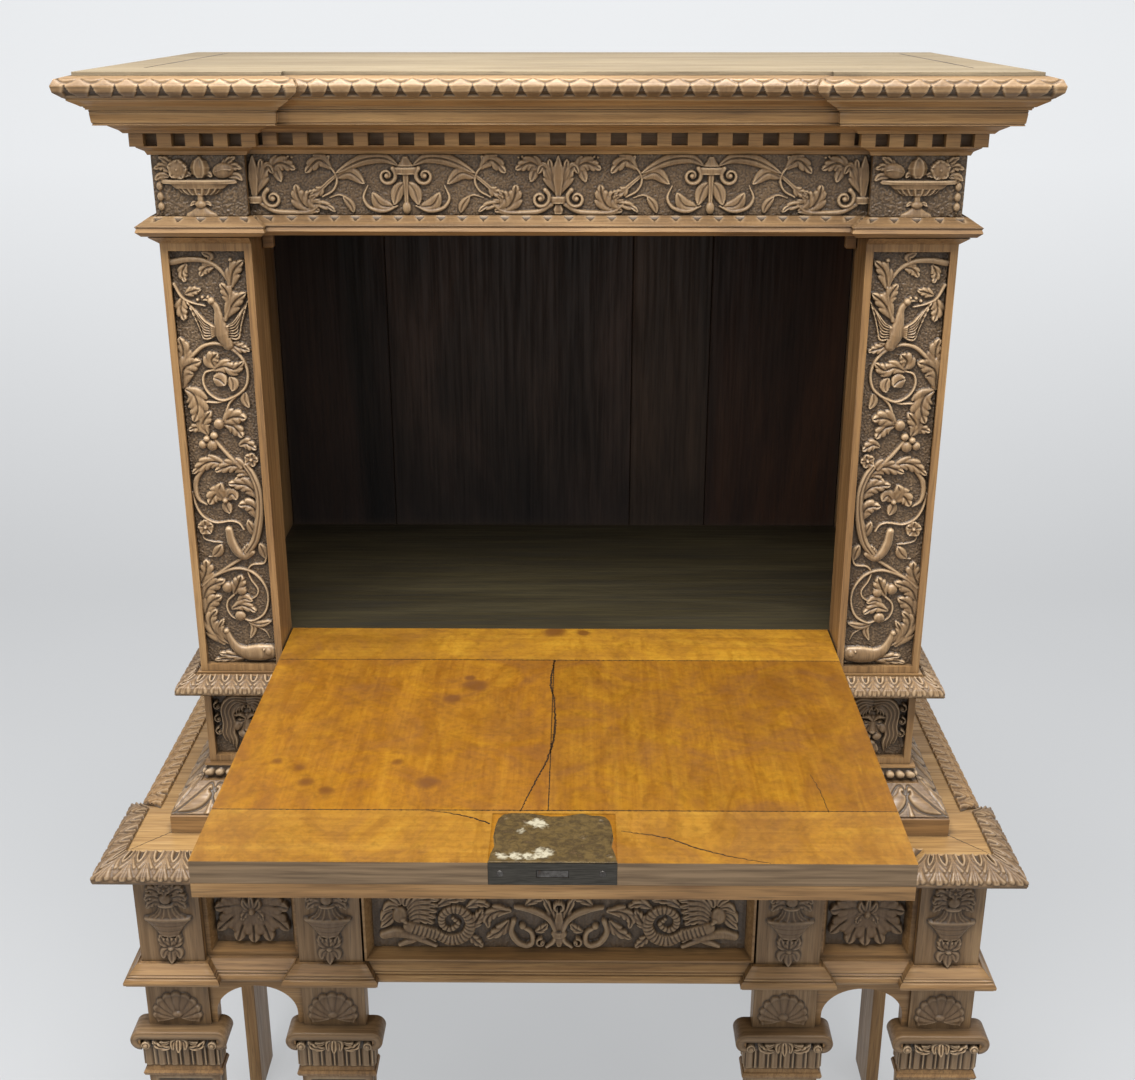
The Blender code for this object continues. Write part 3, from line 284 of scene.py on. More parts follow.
def blurred(grid, size):
    """A box blur over an odd number of cells."""
    half = size // 2
    for axis in (0, 1):
        pad = [(half + 1, half) if a == axis else (0, 0) for a in (0, 1)]
        total = np.cumsum(np.pad(grid, pad, mode="edge"), axis=axis)
        upper = np.take(total, range(size, total.shape[axis]), axis=axis)
        lower = np.take(total, range(0, total.shape[axis] - size), axis=axis)
        grid = (upper - lower) / size
    return grid


class Relief:
    """Heights over a rectangle, in millimetres: u to the right of its middle and v up from its foot."""

    def __init__(
        self, width, height, seed=1, pitch=0.9, punched=1.0, gain=1.0, spread=1.0, stain=0.0, along=None,
    ):
        """punched is the depth of the ground's texture, gain scales heights and spread the width of leaves.

        stain darkens what is raised, and along is the spacing of points along a plain run.
        """
        columns, rows = round(width / (along or pitch)) + 1, round(height / pitch) + 1
        self.width, self.pitch, self.gain = width, pitch, gain
        self.spread, self.stain, self.plain = spread, stain, punched == 0
        across, up = np.linspace(-width / 2, width / 2, columns), np.linspace(0, height, rows)
        self.u, self.v = np.meshgrid(across, up)
        grains = blurred(np.random.default_rng(seed).random((rows, columns)), 3)
        self.h = np.clip((grains - PUNCH_LEVEL) * PUNCH_GAIN, 0, 1) * punched

    def window(self, lowest, highest):
        """The cells between two points."""
        left, right = ((point[0] + self.width / 2) / self.pitch for point in (lowest, highest))
        columns = np.clip([left, right + 2], 0, self.u.shape[1]).astype(int)
        rows = np.clip([lowest[1] / self.pitch, highest[1] / self.pitch + 2], 0, self.u.shape[0]).astype(int)
        return np.s_[rows[0]:rows[1], columns[0]:columns[1]]

    def near(self, points, reach):
        """The window around a curve, and in it the share along the curve and the distance from it."""
        path = curve(points)
        window = self.window(path.min(0) - reach, path.max(0) + reach)
        du = self.u[window][..., None] - path[:, 0]
        dv = self.v[window][..., None] - path[:, 1]
        nearest = np.argmin(du * du + dv * dv, axis=-1)[..., None]
        du, dv = np.take_along_axis(du, nearest, -1)[..., 0], np.take_along_axis(dv, nearest, -1)[..., 0]
        return window, nearest[..., 0] / (len(path) - 1), np.hypot(du, dv)

    def lift(self, window, heights):
        """Raises the cells that are lower than the given heights."""
        self.h[window] = np.maximum(self.h[window], self.gain * heights)

    def cut(self, points, width, depth):
        """A groove along a curve."""
        window, _, distance = self.near(points, 2.5 * width)
        self.h[window] = np.maximum(self.h[window] - depth * np.exp(-(distance / width) ** 2), 0)

    def notch(self, u, v, half, tall):
        """A small triangle cut to the ground, pointing up from v, or down where tall is negative."""
        reach = max(half, abs(tall))
        window = self.window((u - reach, v - reach), (u + reach, v + reach))
        share = (self.v[window] - v) / tall
        inside = (share > 0) & (np.abs(self.u[window] - u) < half * (1 - share))
        self.h[window] = np.where(inside, 0.1, self.h[window])

    def stem(self, points, widths, height, groove=0.0):
        """A rounded ridge whose half width runs through the given widths along the curve."""
        widths = np.atleast_1d(np.array(widths, float))
        window, share, distance = self.near(points, widths.max())
        half = np.interp(share, np.linspace(0, 1, len(widths)), widths)
        across = np.minimum(distance / np.maximum(half, 0.01), 1)
        rise = np.sqrt(1 - across ** 2)
        top = height * (half / widths.max()) ** 0.5 * (0.4 + 0.6 * rise)
        top -= groove * np.exp(-(distance / 0.9) ** 2)
        self.lift(window, np.where(across < 1, top, 0))

    def leaf(self, points, width, height, lobes, vein=1.0):
        """A leaf along a curve from root to tip, with lobed edges where it has more than one lobe."""
        width *= self.spread
        window, share, distance = self.near(points, width)
        across = distance / width
        swell = np.sin(np.pi * np.clip(share, 0, 1) ** 0.9) ** 0.65
        run = (lobes * (share - 0.26 * across)) % 1 if lobes > 1 else np.full_like(share, 0.5)
        bulge = np.sin(np.pi * run)
        edge = np.maximum(swell * (0.74 + 0.36 * bulge ** 0.6), 0.001)
        x = np.minimum(across / edge, 1)
        fold = np.clip(1 - ((x - 0.5) / 0.5) ** 2, 0, 1) ** 0.6
        round_top = np.sqrt(1 - x ** 2)
        profile = (0.3 * fold + 0.7 * round_top) if lobes == 1 else (0.65 * fold + 0.35 * round_top)
        top = height * (0.62 + 0.38 * share) * (0.40 + 0.60 * profile * (0.72 + 0.28 * bulge))
        top -= vein * np.exp(-(distance / 0.8) ** 2) * swell
        self.lift(window, np.where(x < 1, top, 0))

    def dome(self, u, v, radius, height, tall=1.0, tilt=0.0, base=0.3):
        """A rounded knob, longer by the factor tall along a direction tilted from upright, in degrees."""
        reach = radius * max(tall, 1)
        window = self.window((u - reach, v - reach), (u + reach, v + reach))
        du, dv = self.u[window] - u, self.v[window] - v
        turn = math.radians(tilt)
        across, along = du * math.cos(turn) + dv * math.sin(turn), dv * math.cos(turn) - du * math.sin(turn)
        x = np.minimum(np.hypot(across, along / tall) / radius, 1)
        self.lift(window, np.where(x < 1, height * (base + (1 - base) * np.sqrt(1 - x ** 2)), 0))

    def volute(self, u, v, radius, turns, start, width, height):
        """A scroll that ends in a round eye."""
        self.stem(spiral(u, v, radius, turns, start), (width, width * 0.8, width * 0.55), height)
        self.dome(u, v, radius * 0.30, height * 1.15)

    def flower(self, u, v, radius, petals, height, turn=0.0, width=0.45, eye=0.28):
        """Petals round a knob."""
        for i in range(petals):
            angle = math.radians(turn + 360 * i / petals)
            tip = (u + radius * math.cos(angle), v + radius * math.sin(angle))
            middle = (u + 0.55 * radius * math.cos(angle), v + 0.55 * radius * math.sin(angle))
            self.leaf([(u, v), middle, tip], radius * width, height, 1)
        self.dome(u, v, radius * eye, height * 1.15)

    def ridges(self, points, spacing, reach, depth):
        """Grooves across a curve, like those of a scaly tail."""
        path = curve(points)
        ahead = np.gradient(path, axis=0)
        travel = travelled(path)
        for distance in np.arange(spacing, travel[-1], spacing):
            here = np.searchsorted(travel, distance)
            across = reach * np.array([-ahead[here, 1], ahead[here, 0]]) / np.hypot(*ahead[here])
            self.cut([path[here] - across, path[here] + across], 0.8, depth)

    def berries(self, points, radius, height):
        """A row of round beads along a curve."""
        path = curve(points)
        travel = travelled(path)
        count = max(2, int(travel[-1] / (radius * BERRY_PITCH)) + 1)
        for distance in np.linspace(0, travel[-1], count):
            u, v = (np.interp(distance, travel, path[:, axis]) for axis in (0, 1))
            self.dome(u, v, radius, height)

    def mirror(self):
        """Adds the mirror image about the middle."""
        self.h = np.maximum(self.h, self.h[:, ::-1])

    def turned(self, u, outline, height, ribs=0, cut=0.0):
        """A turned shape seen from the side. outline is (v, half width) from its foot up; ribs gadroon it."""
        heights, halves = np.array(outline, float).T
        reach = halves.max()
        window = self.window((u - reach, heights[0]), (u + reach, heights[-1]))
        du, v = self.u[window] - u, self.v[window]
        half = np.maximum(np.interp(v, heights, halves, left=0, right=0), 0.01)
        x = np.clip(du / half, -1, 1)
        top = height * (0.35 + 0.65 * np.sqrt(1 - x ** 2)) * (0.6 + 0.4 * half / reach)
        if ribs:
            top -= cut * np.abs(np.cos(ribs * np.arcsin(x) / 2))
        self.lift(window, np.where((np.abs(du) < half) & (v >= heights[0]) & (v <= heights[-1]), top, 0))


# Laying reliefs on the object


def on_front(middle_x, foot_z, face_y, mirror=1):
    """Lays a relief on a wall that faces the front."""
    def place(u, v, h):
        return middle_x + mirror * u * MM, face_y - h * MM, foot_z + v * MM
    return place


def on_run(start, end, profile, width):
    """Lays a relief along a moulding between two corners.

    A corner is x, y and its mitre, and profile is (reach, height). Only the stretch next to a mitre leans
    with it, so ornament stands upright along the rest.
    """
    reach, height = np.array(profile, float).T
    travel = travelled(np.array(profile, float))
    rise, lean = np.gradient(height, travel), np.gradient(reach, travel)
    start, end = np.array(start, float), np.array(end, float)
    ahead = (end[:2] - start[:2]) / np.hypot(*(end[:2] - start[:2]))
    at_start, at_end = -start[2:] @ ahead, end[2:] @ ahead
    outward = start[2:] + at_start * ahead
    mean = reach.mean()
    zone = min(MITRE_ZONE, width * MM)

    def place(u, v, h):
        up = v * MM
        out = np.interp(up, travel, reach) + (h * MM + SEAT) * np.interp(up, travel, rise)
        z = np.interp(up, travel, height) - (h * MM + SEAT) * np.interp(up, travel, lean)
        from_start, from_end = (width / 2 + u) * MM, (width / 2 - u) * MM
        along = from_start - at_start * mean
        along = along - at_start * (out - mean) * np.clip(1 - from_start / zone, 0, 1)
        along = along + at_end * (out - mean) * np.clip(1 - from_end / zone, 0, 1)
        x, y = (start[axis] + ahead[axis] * along + outward[axis] * out for axis in (0, 1))
        return x, y, z
    return place


def laid(place, u, v, h):
    """Points in the room for places on a relief."""
    return np.stack(np.broadcast_arrays(*place(u, v, h)), -1)


def carve_run(name, make, start, end, profile, finishes=None, grain=None, depth=3.0):
    """Carves a moulding between two corners with the relief that make gives for its length and girth."""
    reach, height = np.array(profile, float).T
    middle = reach.mean()
    ends = [np.array(corner[:2]) + middle * np.array(corner[2:]) for corner in (start, end)]
    length = np.abs(ends[1] - ends[0])
    width = np.hypot(*length) / MM
    girth = np.hypot(np.diff(reach), np.diff(height)).sum() / MM
    finish = (finishes or carved_along)[length.argmax() if grain is None else grain]
    carving(name, make(width, girth), on_run(start, end, profile, width), "cabinet", finish, depth=depth)


def shaped(shape, reach, foot, top):
    """A moulding's outline from shares of its reach and height."""
    return [(share * reach, foot + up * (top - foot)) for share, up in shape]


def profile_of(node, shape, reach):
    """The outline of a carved stretch between the foot and the top of its solid."""
    return shaped(shape, reach, low(node).z, high(node).z)


def carving(name, relief, place, body, finish, slot="carved_walnut", depth=1.0):
    """One closed piece: the carved front, a back that is set into the wood, and edges between them."""
    rows, columns = relief.h.shape
    front = laid(place, relief.u, relief.v, relief.h).reshape(-1, 3)
    ends = np.s_[[0, -1], :]
    back = laid(place, relief.u[ends], relief.v[ends], np.full((2, columns), -depth)).reshape(-1, 3)
    points = np.vstack([front, back])
    grid = np.arange(rows * columns).reshape(rows, columns)
    foot, head = rows * columns + np.arange(columns), rows * columns + columns + np.arange(columns)
    quads = np.vstack([
        np.column_stack([a[:-1], a[1:], b[1:], b[:-1]])
        for a, b in [*zip(grid, grid[1:]), (grid[-1], head), (head, foot), (foot, grid[0])]
    ])
    triangles = []
    for column, turn in ((0, 1), (-1, -1)):
        edge = np.append(grid[:, column], head[column])
        fan = np.column_stack([np.full(rows, foot[column]), edge[1:], edge[:-1]])
        triangles.append(fan[:, ::turn])
    triangles = np.vstack(triangles)
    corners = np.vstack([quads[:, :3], quads[:, [0, 2, 3]], triangles])
    a, b, c = (points[column] for column in corners.T)
    if np.einsum("ij,ij->", a, np.cross(b, c)) < 0:
        quads, triangles = quads[:, ::-1], triangles[:, ::-1]
    mesh = bpy.data.meshes.new(name)
    mesh.from_pydata(points.tolist(), [], quads.tolist() + triangles.tolist())
    mesh.polygons.foreach_set("use_smooth", np.arange(len(mesh.polygons)) < (rows - 1) * (columns - 1))
    paint_hollows(mesh, relief, columns)
    add_piece(name, mesh, body, finish, slot)


def paint_hollows(mesh, relief, columns):
    """Stores for the finish how high, hollow, stained and worn each point of a carving is, for dirt with
    painted shade in the hollows and wear with painted highlights on the ridges.
    """
    cells = relief.h.size
    smooth = blurred(relief.h, HOLLOW_CELLS)
    colours = np.zeros((cells + 2 * columns, 4), np.float32)
    colours[cells:, 0] = 1
    colours[:cells, 0] = 1 if relief.plain else np.clip(relief.h / relief.h.max(), 0, 1).ravel()
    # Hollow: how far a point lies below its surroundings, later darkened with dirt and painted shade
    colours[:cells, 1] = np.clip((smooth - relief.h) / HOLLOW_DEPTH, 0, 1).ravel()
    colours[:cells, 2] = (relief.stain * np.clip(blurred(relief.h, 3) / STAIN_DEPTH, 0, 1)).ravel()
    # Ridges: how far a point stands above its surroundings, lightened as wear and painted highlight
    colours[:cells, 3] = np.clip((relief.h - smooth) / WORN_HIGHLIGHT_DEPTH, 0, 1).ravel()
    layer = mesh.attributes.new("carving", "FLOAT_COLOR", "POINT")
    layer.data.foreach_set("color", colours.ravel())


def closed_mesh(name, points, faces):
    """A mesh whose faces all look outwards."""
    mesh = bpy.data.meshes.new(name)
    mesh.from_pydata([tuple(point) for point in points], [], faces)
    shape = bmesh.new()
    shape.from_mesh(mesh)
    bmesh.ops.recalc_face_normals(shape, faces=shape.faces)
    shape.to_mesh(mesh)
    shape.free()
    return mesh


def lathe(name, outline, place, axis, body, finish, slot, sides=28):
    """A turned piece along an axis. outline is (radius, distance) in millimetres, from pole to pole."""
    turns = np.linspace(0, 2 * math.pi, sides, endpoint=False)
    across = [i for i in range(3) if i != axis]
    points = []
    for radius, along in outline:
        for turn in turns if radius else turns[:1]:
            point = list(place)
            point[axis] += along * MM
            point[across[0]] += radius * math.cos(turn) * MM
            point[across[1]] += radius * math.sin(turn) * MM
            points.append(point)
    last = len(points) - 1
    rings = [1 + i * sides for i in range(len(outline) - 2)]
    faces = []
    for i in range(sides):
        j = (i + 1) % sides
        faces += [(0, rings[0] + j, rings[0] + i), (last, rings[-1] + i, rings[-1] + j)]
        faces += [(a + i, a + j, b + j, b + i) for a, b in zip(rings, rings[1:])]
    mesh = closed_mesh(name, points, faces)
    mesh.shade_smooth()
    add_piece(name, mesh, body, finish, slot)


def ribbon(name, points, widths, place, body, finish, slot, top=0.12, depth=0.8, ragged=0.0):
    """A narrow closed strip along a curve, such as a joint or a crack, which strays by ragged millimetres."""
    path = curve(points, 3.0)
    ahead = np.gradient(path, axis=0)
    aside = np.column_stack([-ahead[:, 1], ahead[:, 0]]) / np.hypot(*ahead.T)[:, None]
    stray = np.random.default_rng(len(path)).uniform(-ragged, ragged, (len(path), 1))
    half = np.interp(np.linspace(0, 1, len(path)), np.linspace(0, 1, len(widths)), widths)[:, None]
    half = half * (1 + 0.4 * np.sign(ragged) * np.sin(9.1 * np.arange(len(path)))[:, None])
    corners = [
        laid(place, *(path + (side * half + stray) * aside).T, height)
        for side, height in ((1, top), (-1, top), (-1, -depth), (1, -depth))
    ]
    count = len(path)
    ring = [[row * count + i for row in range(4)] for i in range(count)]
    faces = [tuple(ring[0]), tuple(reversed(ring[-1]))]
    for a, b in zip(ring, ring[1:]):
        faces += [(a[k], b[k], b[(k + 1) % 4], a[(k + 1) % 4]) for k in range(4)]
    add_piece(name, closed_mesh(name, np.vstack(corners), faces), body, finish, slot)


def add_piece(name, mesh, body, finish, slot):
    """Puts a mesh into the scene with its finish, on the body that it moves with."""
    piece = bpy.data.objects.new(name, mesh)
    bpy.context.scene.collection.objects.link(piece)
    mesh.materials.append(finish)
    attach(piece, body)


# Finishes


class Shader:
    """A material that is built up node by node around a Principled BSDF."""

    def __init__(self, name, roughness=0.5, metallic=0.0):
        self.material = bpy.data.materials.new(name)
        self.material.use_nodes = True
        self.tree = self.material.node_tree
        self.surface = self.tree.nodes["Principled BSDF"]
        self.surface.inputs["Roughness"].default_value = roughness
        self.surface.inputs["Metallic"].default_value = metallic

    def add(self, kind, settings=None, **inputs):
        """A node with its settings and inputs. An input called _0 is the first one, and so on."""
        made = self.tree.nodes.new("ShaderNode" + kind)
        for key, value in (settings or {}).items():
            setattr(made, key, value)
        for key, value in inputs.items():
            self.give(made.inputs[int(key[1:]) if key.startswith("_") else key], value)
        return made

    def give(self, socket, value):
        """Links an output to an input, or sets the input."""
        if isinstance(value, bpy.types.NodeSocket):
            self.tree.links.new(value, socket)
        else:
            socket.default_value = value

    def place(self, scale):
        """Object coordinates stretched by a scale for each axis."""
        return self.add("Mapping", Vector=self.add("TexCoord").outputs["Object"], Scale=scale).outputs[0]

    def noise(self, scale, detail=3.0, distortion=0.0, roughness=0.55):
        """Noise over the stretched object coordinates."""
        inputs = {"Scale": 1.0, "Detail": detail, "Distortion": distortion, "Roughness": roughness}
        return self.add("TexNoise", Vector=self.place(scale), **inputs).outputs["Fac"]

    def ramp(self, factor, *stops):
        """Colours or greys at places along 0 to 1."""
        made = self.add("ValToRGB", Fac=factor)
        elements = made.color_ramp.elements
        while len(elements) < len(stops):
            elements.new(0.5)
        for element, (position, colour) in zip(elements, stops):
            element.position = position
            element.color = (*colour, 1) if isinstance(colour, tuple) else (colour, colour, colour, 1)
        return made.outputs["Color"]

    def mix(self, factor, first, second, blend="MIX"):
        """Two colours mixed by a factor."""
        made = self.add("Mix", {"data_type": "RGBA", "blend_type": blend})
        self.give(made.inputs["Factor"], factor)
        self.give(made.inputs[6], first)
        self.give(made.inputs[7], second)
        return made.outputs[2]

    def math(self, operation, first, second):
        """One sum, product or the like of two values."""
        return self.add("Math", {"operation": operation}, _0=first, _1=second).outputs[0]

    def weighed(self, *pairs):
        """The sum of values times their weights."""
        total, *others = [self.math("MULTIPLY", value, weight) for value, weight in pairs]
        for other in others:
            total = self.math("ADD", total, other)
        return total

    def finish(self, colour, roughness=None, bump=None, strength=0.2, distance=0.0005):
        """The material, with its colour, roughness and bumps."""
        self.give(self.surface.inputs["Base Color"], colour)
        if roughness is not None:
            self.give(self.surface.inputs["Roughness"], roughness)
        if bump is not None:
            made = self.add("Bump", Strength=strength, Distance=distance, Height=bump)
            self.give(self.surface.inputs["Normal"], made.outputs[0])
        return self.material


def along_grain(axis, across, along):
    """Scales that stretch a pattern along one axis."""
    return tuple(along if i == axis else across for i in range(3))


def wood(name, axis, tones, gloss=(0.36, 0.56), figure=1.0, fine=0.45, carved=False, dirt_and_shade=DIRT_AND_SHADE):
    """Waxed wood with its figure, grain and pores, and dirt with painted shade in the corners. tones go from
    dark to light.
    """
    dark, middle, light = tones
    shader = Shader(name)
    clouds = shader.noise(along_grain(axis, 9 * figure, 1.6), 4, 1.4)
    grain = shader.noise(along_grain(axis, 210, 7), 3, 0.3)
    pores = shader.noise(along_grain(axis, 640, 22), 2)
    blend = shader.weighed((clouds, 1 - fine), (grain, fine))
    colour = shader.ramp(blend, (0.32, dark), (0.49, middle), (0.66, light))
    colour = shader.mix(0.60, colour, shader.ramp(pores, (0.30, 0.40), (0.48, 1.0)), "MULTIPLY")
    if carved:
        layer = shader.add("Attribute", {"attribute_name": "carving"})
        parts = shader.add("SeparateColor", Color=layer.outputs["Color"])
        # The lowest points of a carving take the ground tone: partly its own tone, partly painted shade
        ground = shader.ramp(parts.outputs[0], (0.0, 1.0), (0.10, 0.58), (0.32, 0.0))
        hollow, stained, worn = parts.outputs[1], parts.outputs[2], layer.outputs["Alpha"]
        # Layers: ridges lightened with wear and painted highlight, raised parts stained, the low ground
        # darkened with its own tone and painted shade, hollows with dirt and painted shade
        layers = ((worn, 0.72, WORN_AND_HIGHLIGHT), (stained, 0.68, STAIN), (ground, 0.78, GROUND_AND_SHADE), (hollow, 0.95, dirt_and_shade))
        for share, most, tone in layers:
            colour = shader.mix(shader.math("MULTIPLY", share, most), colour, (*tone, 1))
    # Ambient occlusion darkens corners and creases: partly dirt, partly painted shade
    corners = shader.add("AmbientOcclusion", {"samples": 4}, Distance=0.014)
    shade = shader.ramp(corners.outputs["AO"], (0.20, 0.90), (0.55, 0.45), (0.86, 0.0))
    colour = shader.mix(shade, colour, (*dirt_and_shade, 1))
    gloss = shader.ramp(grain, (0.35, gloss[1]), (0.65, gloss[0]))
    return shader.finish(colour, gloss, shader.math("ADD", grain, pores), 0.25, 0.0004)


def old_polish(name, axis, tones=HONEY):
    """Worn honey polish with a mottled figure and stains on the faces, and greyed edges."""
    dark, middle, light = tones
    shader = Shader(name)
    mottle = shader.noise((11, 11, 11), 6, 1.6, 0.62)
    figure = shader.noise(along_grain(axis, 24, 2.4), 4, 1.2)
    grain = shader.noise(along_grain(axis, 300, 10), 3, 0.3)
    blend = shader.weighed((mottle, 0.50), (figure, 0.30), (grain, 0.20))
    colour = shader.ramp(blend, (0.36, dark), (0.50, middle), (0.63, light))
    patches = shader.ramp(shader.noise((6, 6, 6), 6, 1.4, 0.68), (0.47, 0.0), (0.70, 0.60))
    colour = shader.mix(patches, colour, (*OLD_STAIN, 1))
    streaks = shader.ramp(shader.noise((17, 5, 17), 5, 3.0, 0.6), (0.50, 0.0), (0.64, 0.55))
    colour = shader.mix(streaks, colour, (*dark, 1))
    speckle = shader.noise((120, 120, 120), 5, 0.6, 0.7)
    colour = shader.mix(0.6, colour, shader.ramp(speckle, (0.30, 0.55), (0.56, 1.0)), "MULTIPLY")
    for x, y, radius in FLAP_SPOTS:
        spot = shader.add("VectorMath", {"operation": "DISTANCE"}, _0=shader.place((1, 1, 0)), _1=(x, y, 0))
        ragged = shader.math("ADD", spot.outputs["Value"], shader.math("MULTIPLY", mottle, radius))
        mark = shader.ramp(ragged, (1.15 * radius, 0.92), (1.7 * radius, 0.0))
        colour = shader.mix(mark, colour, (*OLD_STAIN, 1))
    facing = shader.add("SeparateXYZ", Vector=shader.add("TexCoord").outputs["Normal"])
    edge = shader.ramp(facing.outputs["Z"], (0.40, 1.0), (0.70, 0.0))
    colour = shader.mix(edge, colour, shader.ramp(grain, (0.35, GREYED[0]), (0.65, GREYED[1])))
    gloss = shader.ramp(mottle, (0.35, 0.56), (0.65, 0.36))
    return shader.finish(colour, gloss, shader.math("ADD", grain, mottle), 0.15, 0.0004)


def along_axes(make, name, *settings, **choices):
    """One finish for each axis that the grain can run along."""
    return [make(f"{name}_{letter}", axis, *settings, **choices) for axis, letter in enumerate("xyz")]


walnut_along = along_axes(wood, "walnut", WALNUT)
dark_along = along_axes(wood, "dark_boards", DARK, (0.45, 0.7))
pale_along = along_axes(wood, "drawer_wood", PALE, (0.55, 0.75))
honey_along = along_axes(old_polish, "honey_walnut")
carved_along = along_axes(wood, "carved_walnut", CARVED, carved=True)
moulded_along = along_axes(wood, "moulded_walnut", WALNUT, carved=True)
# Painted light: lighter copies of the carved walnut
painted_light_along = along_axes(wood, "shaded_walnut", PAINTED_LIGHT_WALNUT, carved=True)
carved_walnut = carved_along[2]
# Painted light: the cornice and dentils take the lightened walnut, with lighter dirt and painted shade in
# their gaps
dentil_walnut = wood("dentil_walnut", 0, PAINTED_LIGHT_WALNUT, dirt_and_shade=DENTIL_DIRT_AND_SHADE)
# The stand's board: its own paler tone and painted light
stand_board = wood("stand_board", 0, PALE_HONEY_AND_LIT)
joint_dirt = wood("joint_dirt", 1, JOINT)
plank_finishes = {
    f"back_plank_{number}": wood(f"back_plank_{number}", 2, tones, (0.5, 0.75), 0.9, 0.18)
    for number, tones in enumerate(PLANKS, 1)
}
floor_boards = wood("interior_floor", 0, OLIVE, (0.5, 0.7))
# The top: dust and painted sheen
dust_and_sheen_top = wood("dust_and_sheen_top", 0, DUST_AND_SHEEN, (0.5, 0.7))


def worn_metal(name, bright, worn, roughness, rust, painted=False, front=None, shine=1.0):
    """Metal with stains, scratches and worn patches. painted adds old paint and grime with painted shade in
    the hollows, and front other tones there.
    """
    shader = Shader(name, roughness, shine)
    patches = shader.noise((130, 130, 130), 6, 0.4, 0.7)
    scratches = shader.noise((60, 900, 900), 2)
    colour = shader.mix(shader.ramp(patches, (0.40, 0.0), (0.60, 1.0)), (*bright, 1), (*worn, 1))
    colour = shader.mix(shader.ramp(patches, (0.62, 0.0), (0.70, 0.9)), colour, (*rust, 1))
    if painted:
        layer = shader.add("Attribute", {"attribute_name": "carving"})
        parts = shader.add("SeparateColor", Color=layer.outputs["Color"])
        flakes = shader.math("MULTIPLY", parts.outputs[2], shader.noise((150, 150, 150), 5, 0.5))
        paint = shader.ramp(flakes, (0.24, 0.0), (0.36, 0.9))
        colour = shader.mix(paint, colour, (*OLD_PAINT, 1))
        shader.give(shader.surface.inputs["Metallic"], shader.ramp(paint, (0.2, shine), (0.8, 0.0)))
        # Hollows of the plate darkened: partly grime, partly painted shade
        colour = shader.mix(shader.ramp(parts.outputs[1], (0.1, 0.0), (0.5, 0.9)), colour, (*GRIME_AND_SHADE, 1))
    if front:
        facing = shader.add("SeparateXYZ", Vector=shader.add("TexCoord").outputs["Normal"])
        ahead = shader.ramp(shader.math("MULTIPLY", facing.outputs["Y"], -1.0), (0.4, 0.0), (0.6, 1.0))
        colour = shader.mix(ahead, colour, shader.ramp(scratches, (0.3, front[0]), (0.7, front[1])))
    gloss = shader.ramp(scratches, (0.3, roughness + 0.18), (0.7, roughness - 0.06))
    return shader.finish(colour, gloss, shader.math("ADD", patches, scratches), 0.3, 0.0003)


iron = worn_metal("iron", *IRON, 0.42, IRON_RUST)
brass = worn_metal("brass", *OLD_BRASS, 0.42, BRASS_RUST, front=STEEL)
plate_brass = worn_metal("plate_brass", *OLD_BRASS, 0.44, PLATE_RUST, painted=True, shine=0.30)

FINISHES = {
    "carved_walnut": walnut_along, "dark_interior": dark_along, "honey_walnut": honey_along,
    "drawer_wood": pale_along, "iron": [iron] * 3, "brass": [brass] * 3,
}
SPECIAL_FINISHES = {
    **plank_finishes, "interior_floor": floor_boards, "top_frame": dust_and_sheen_top, "top_panel": dust_and_sheen_top,
    "dentil_course": dentil_walnut, "cornice_moulding": dentil_walnut, "stand_top": stand_board,
    # Flap parts with the lit and shaded copies of the honey polish: painted light and painted shade
    "flap_rear_rail": old_polish("flap_rear_rail", 0, HONEY_LIT_REAR),
    "flap_board_right": old_polish("flap_board_right", 1, HONEY_SHADED_RIGHT),
    "flap_front_rail": old_polish("flap_front_rail", 0, HONEY_LIT_FRONT),
}
UPRIGHT = (
    "pilaster", "pedestal_left", "pedestal_right", "front_leg", "rear_post", "side_panel", "back_plank",
)
LENGTHWAYS = ("drawer_side", "drawer_runner", "stand_side_rail", "flap_board")


def finish_nodes():
    """Gives each solid its finish, with the grain along the piece."""
    for part in frame["record"]["subparts"]:
        name = part["node"]
        axis = 2 if name.startswith(UPRIGHT) else 1 if name.startswith(LENGTHWAYS) else 0
        finish = SPECIAL_FINISHES.get(name, FINISHES[part["material_slot"]][axis])
        mesh = NODES[name].data
        mesh.materials.clear()
        mesh.materials.append(finish)


# Carvings


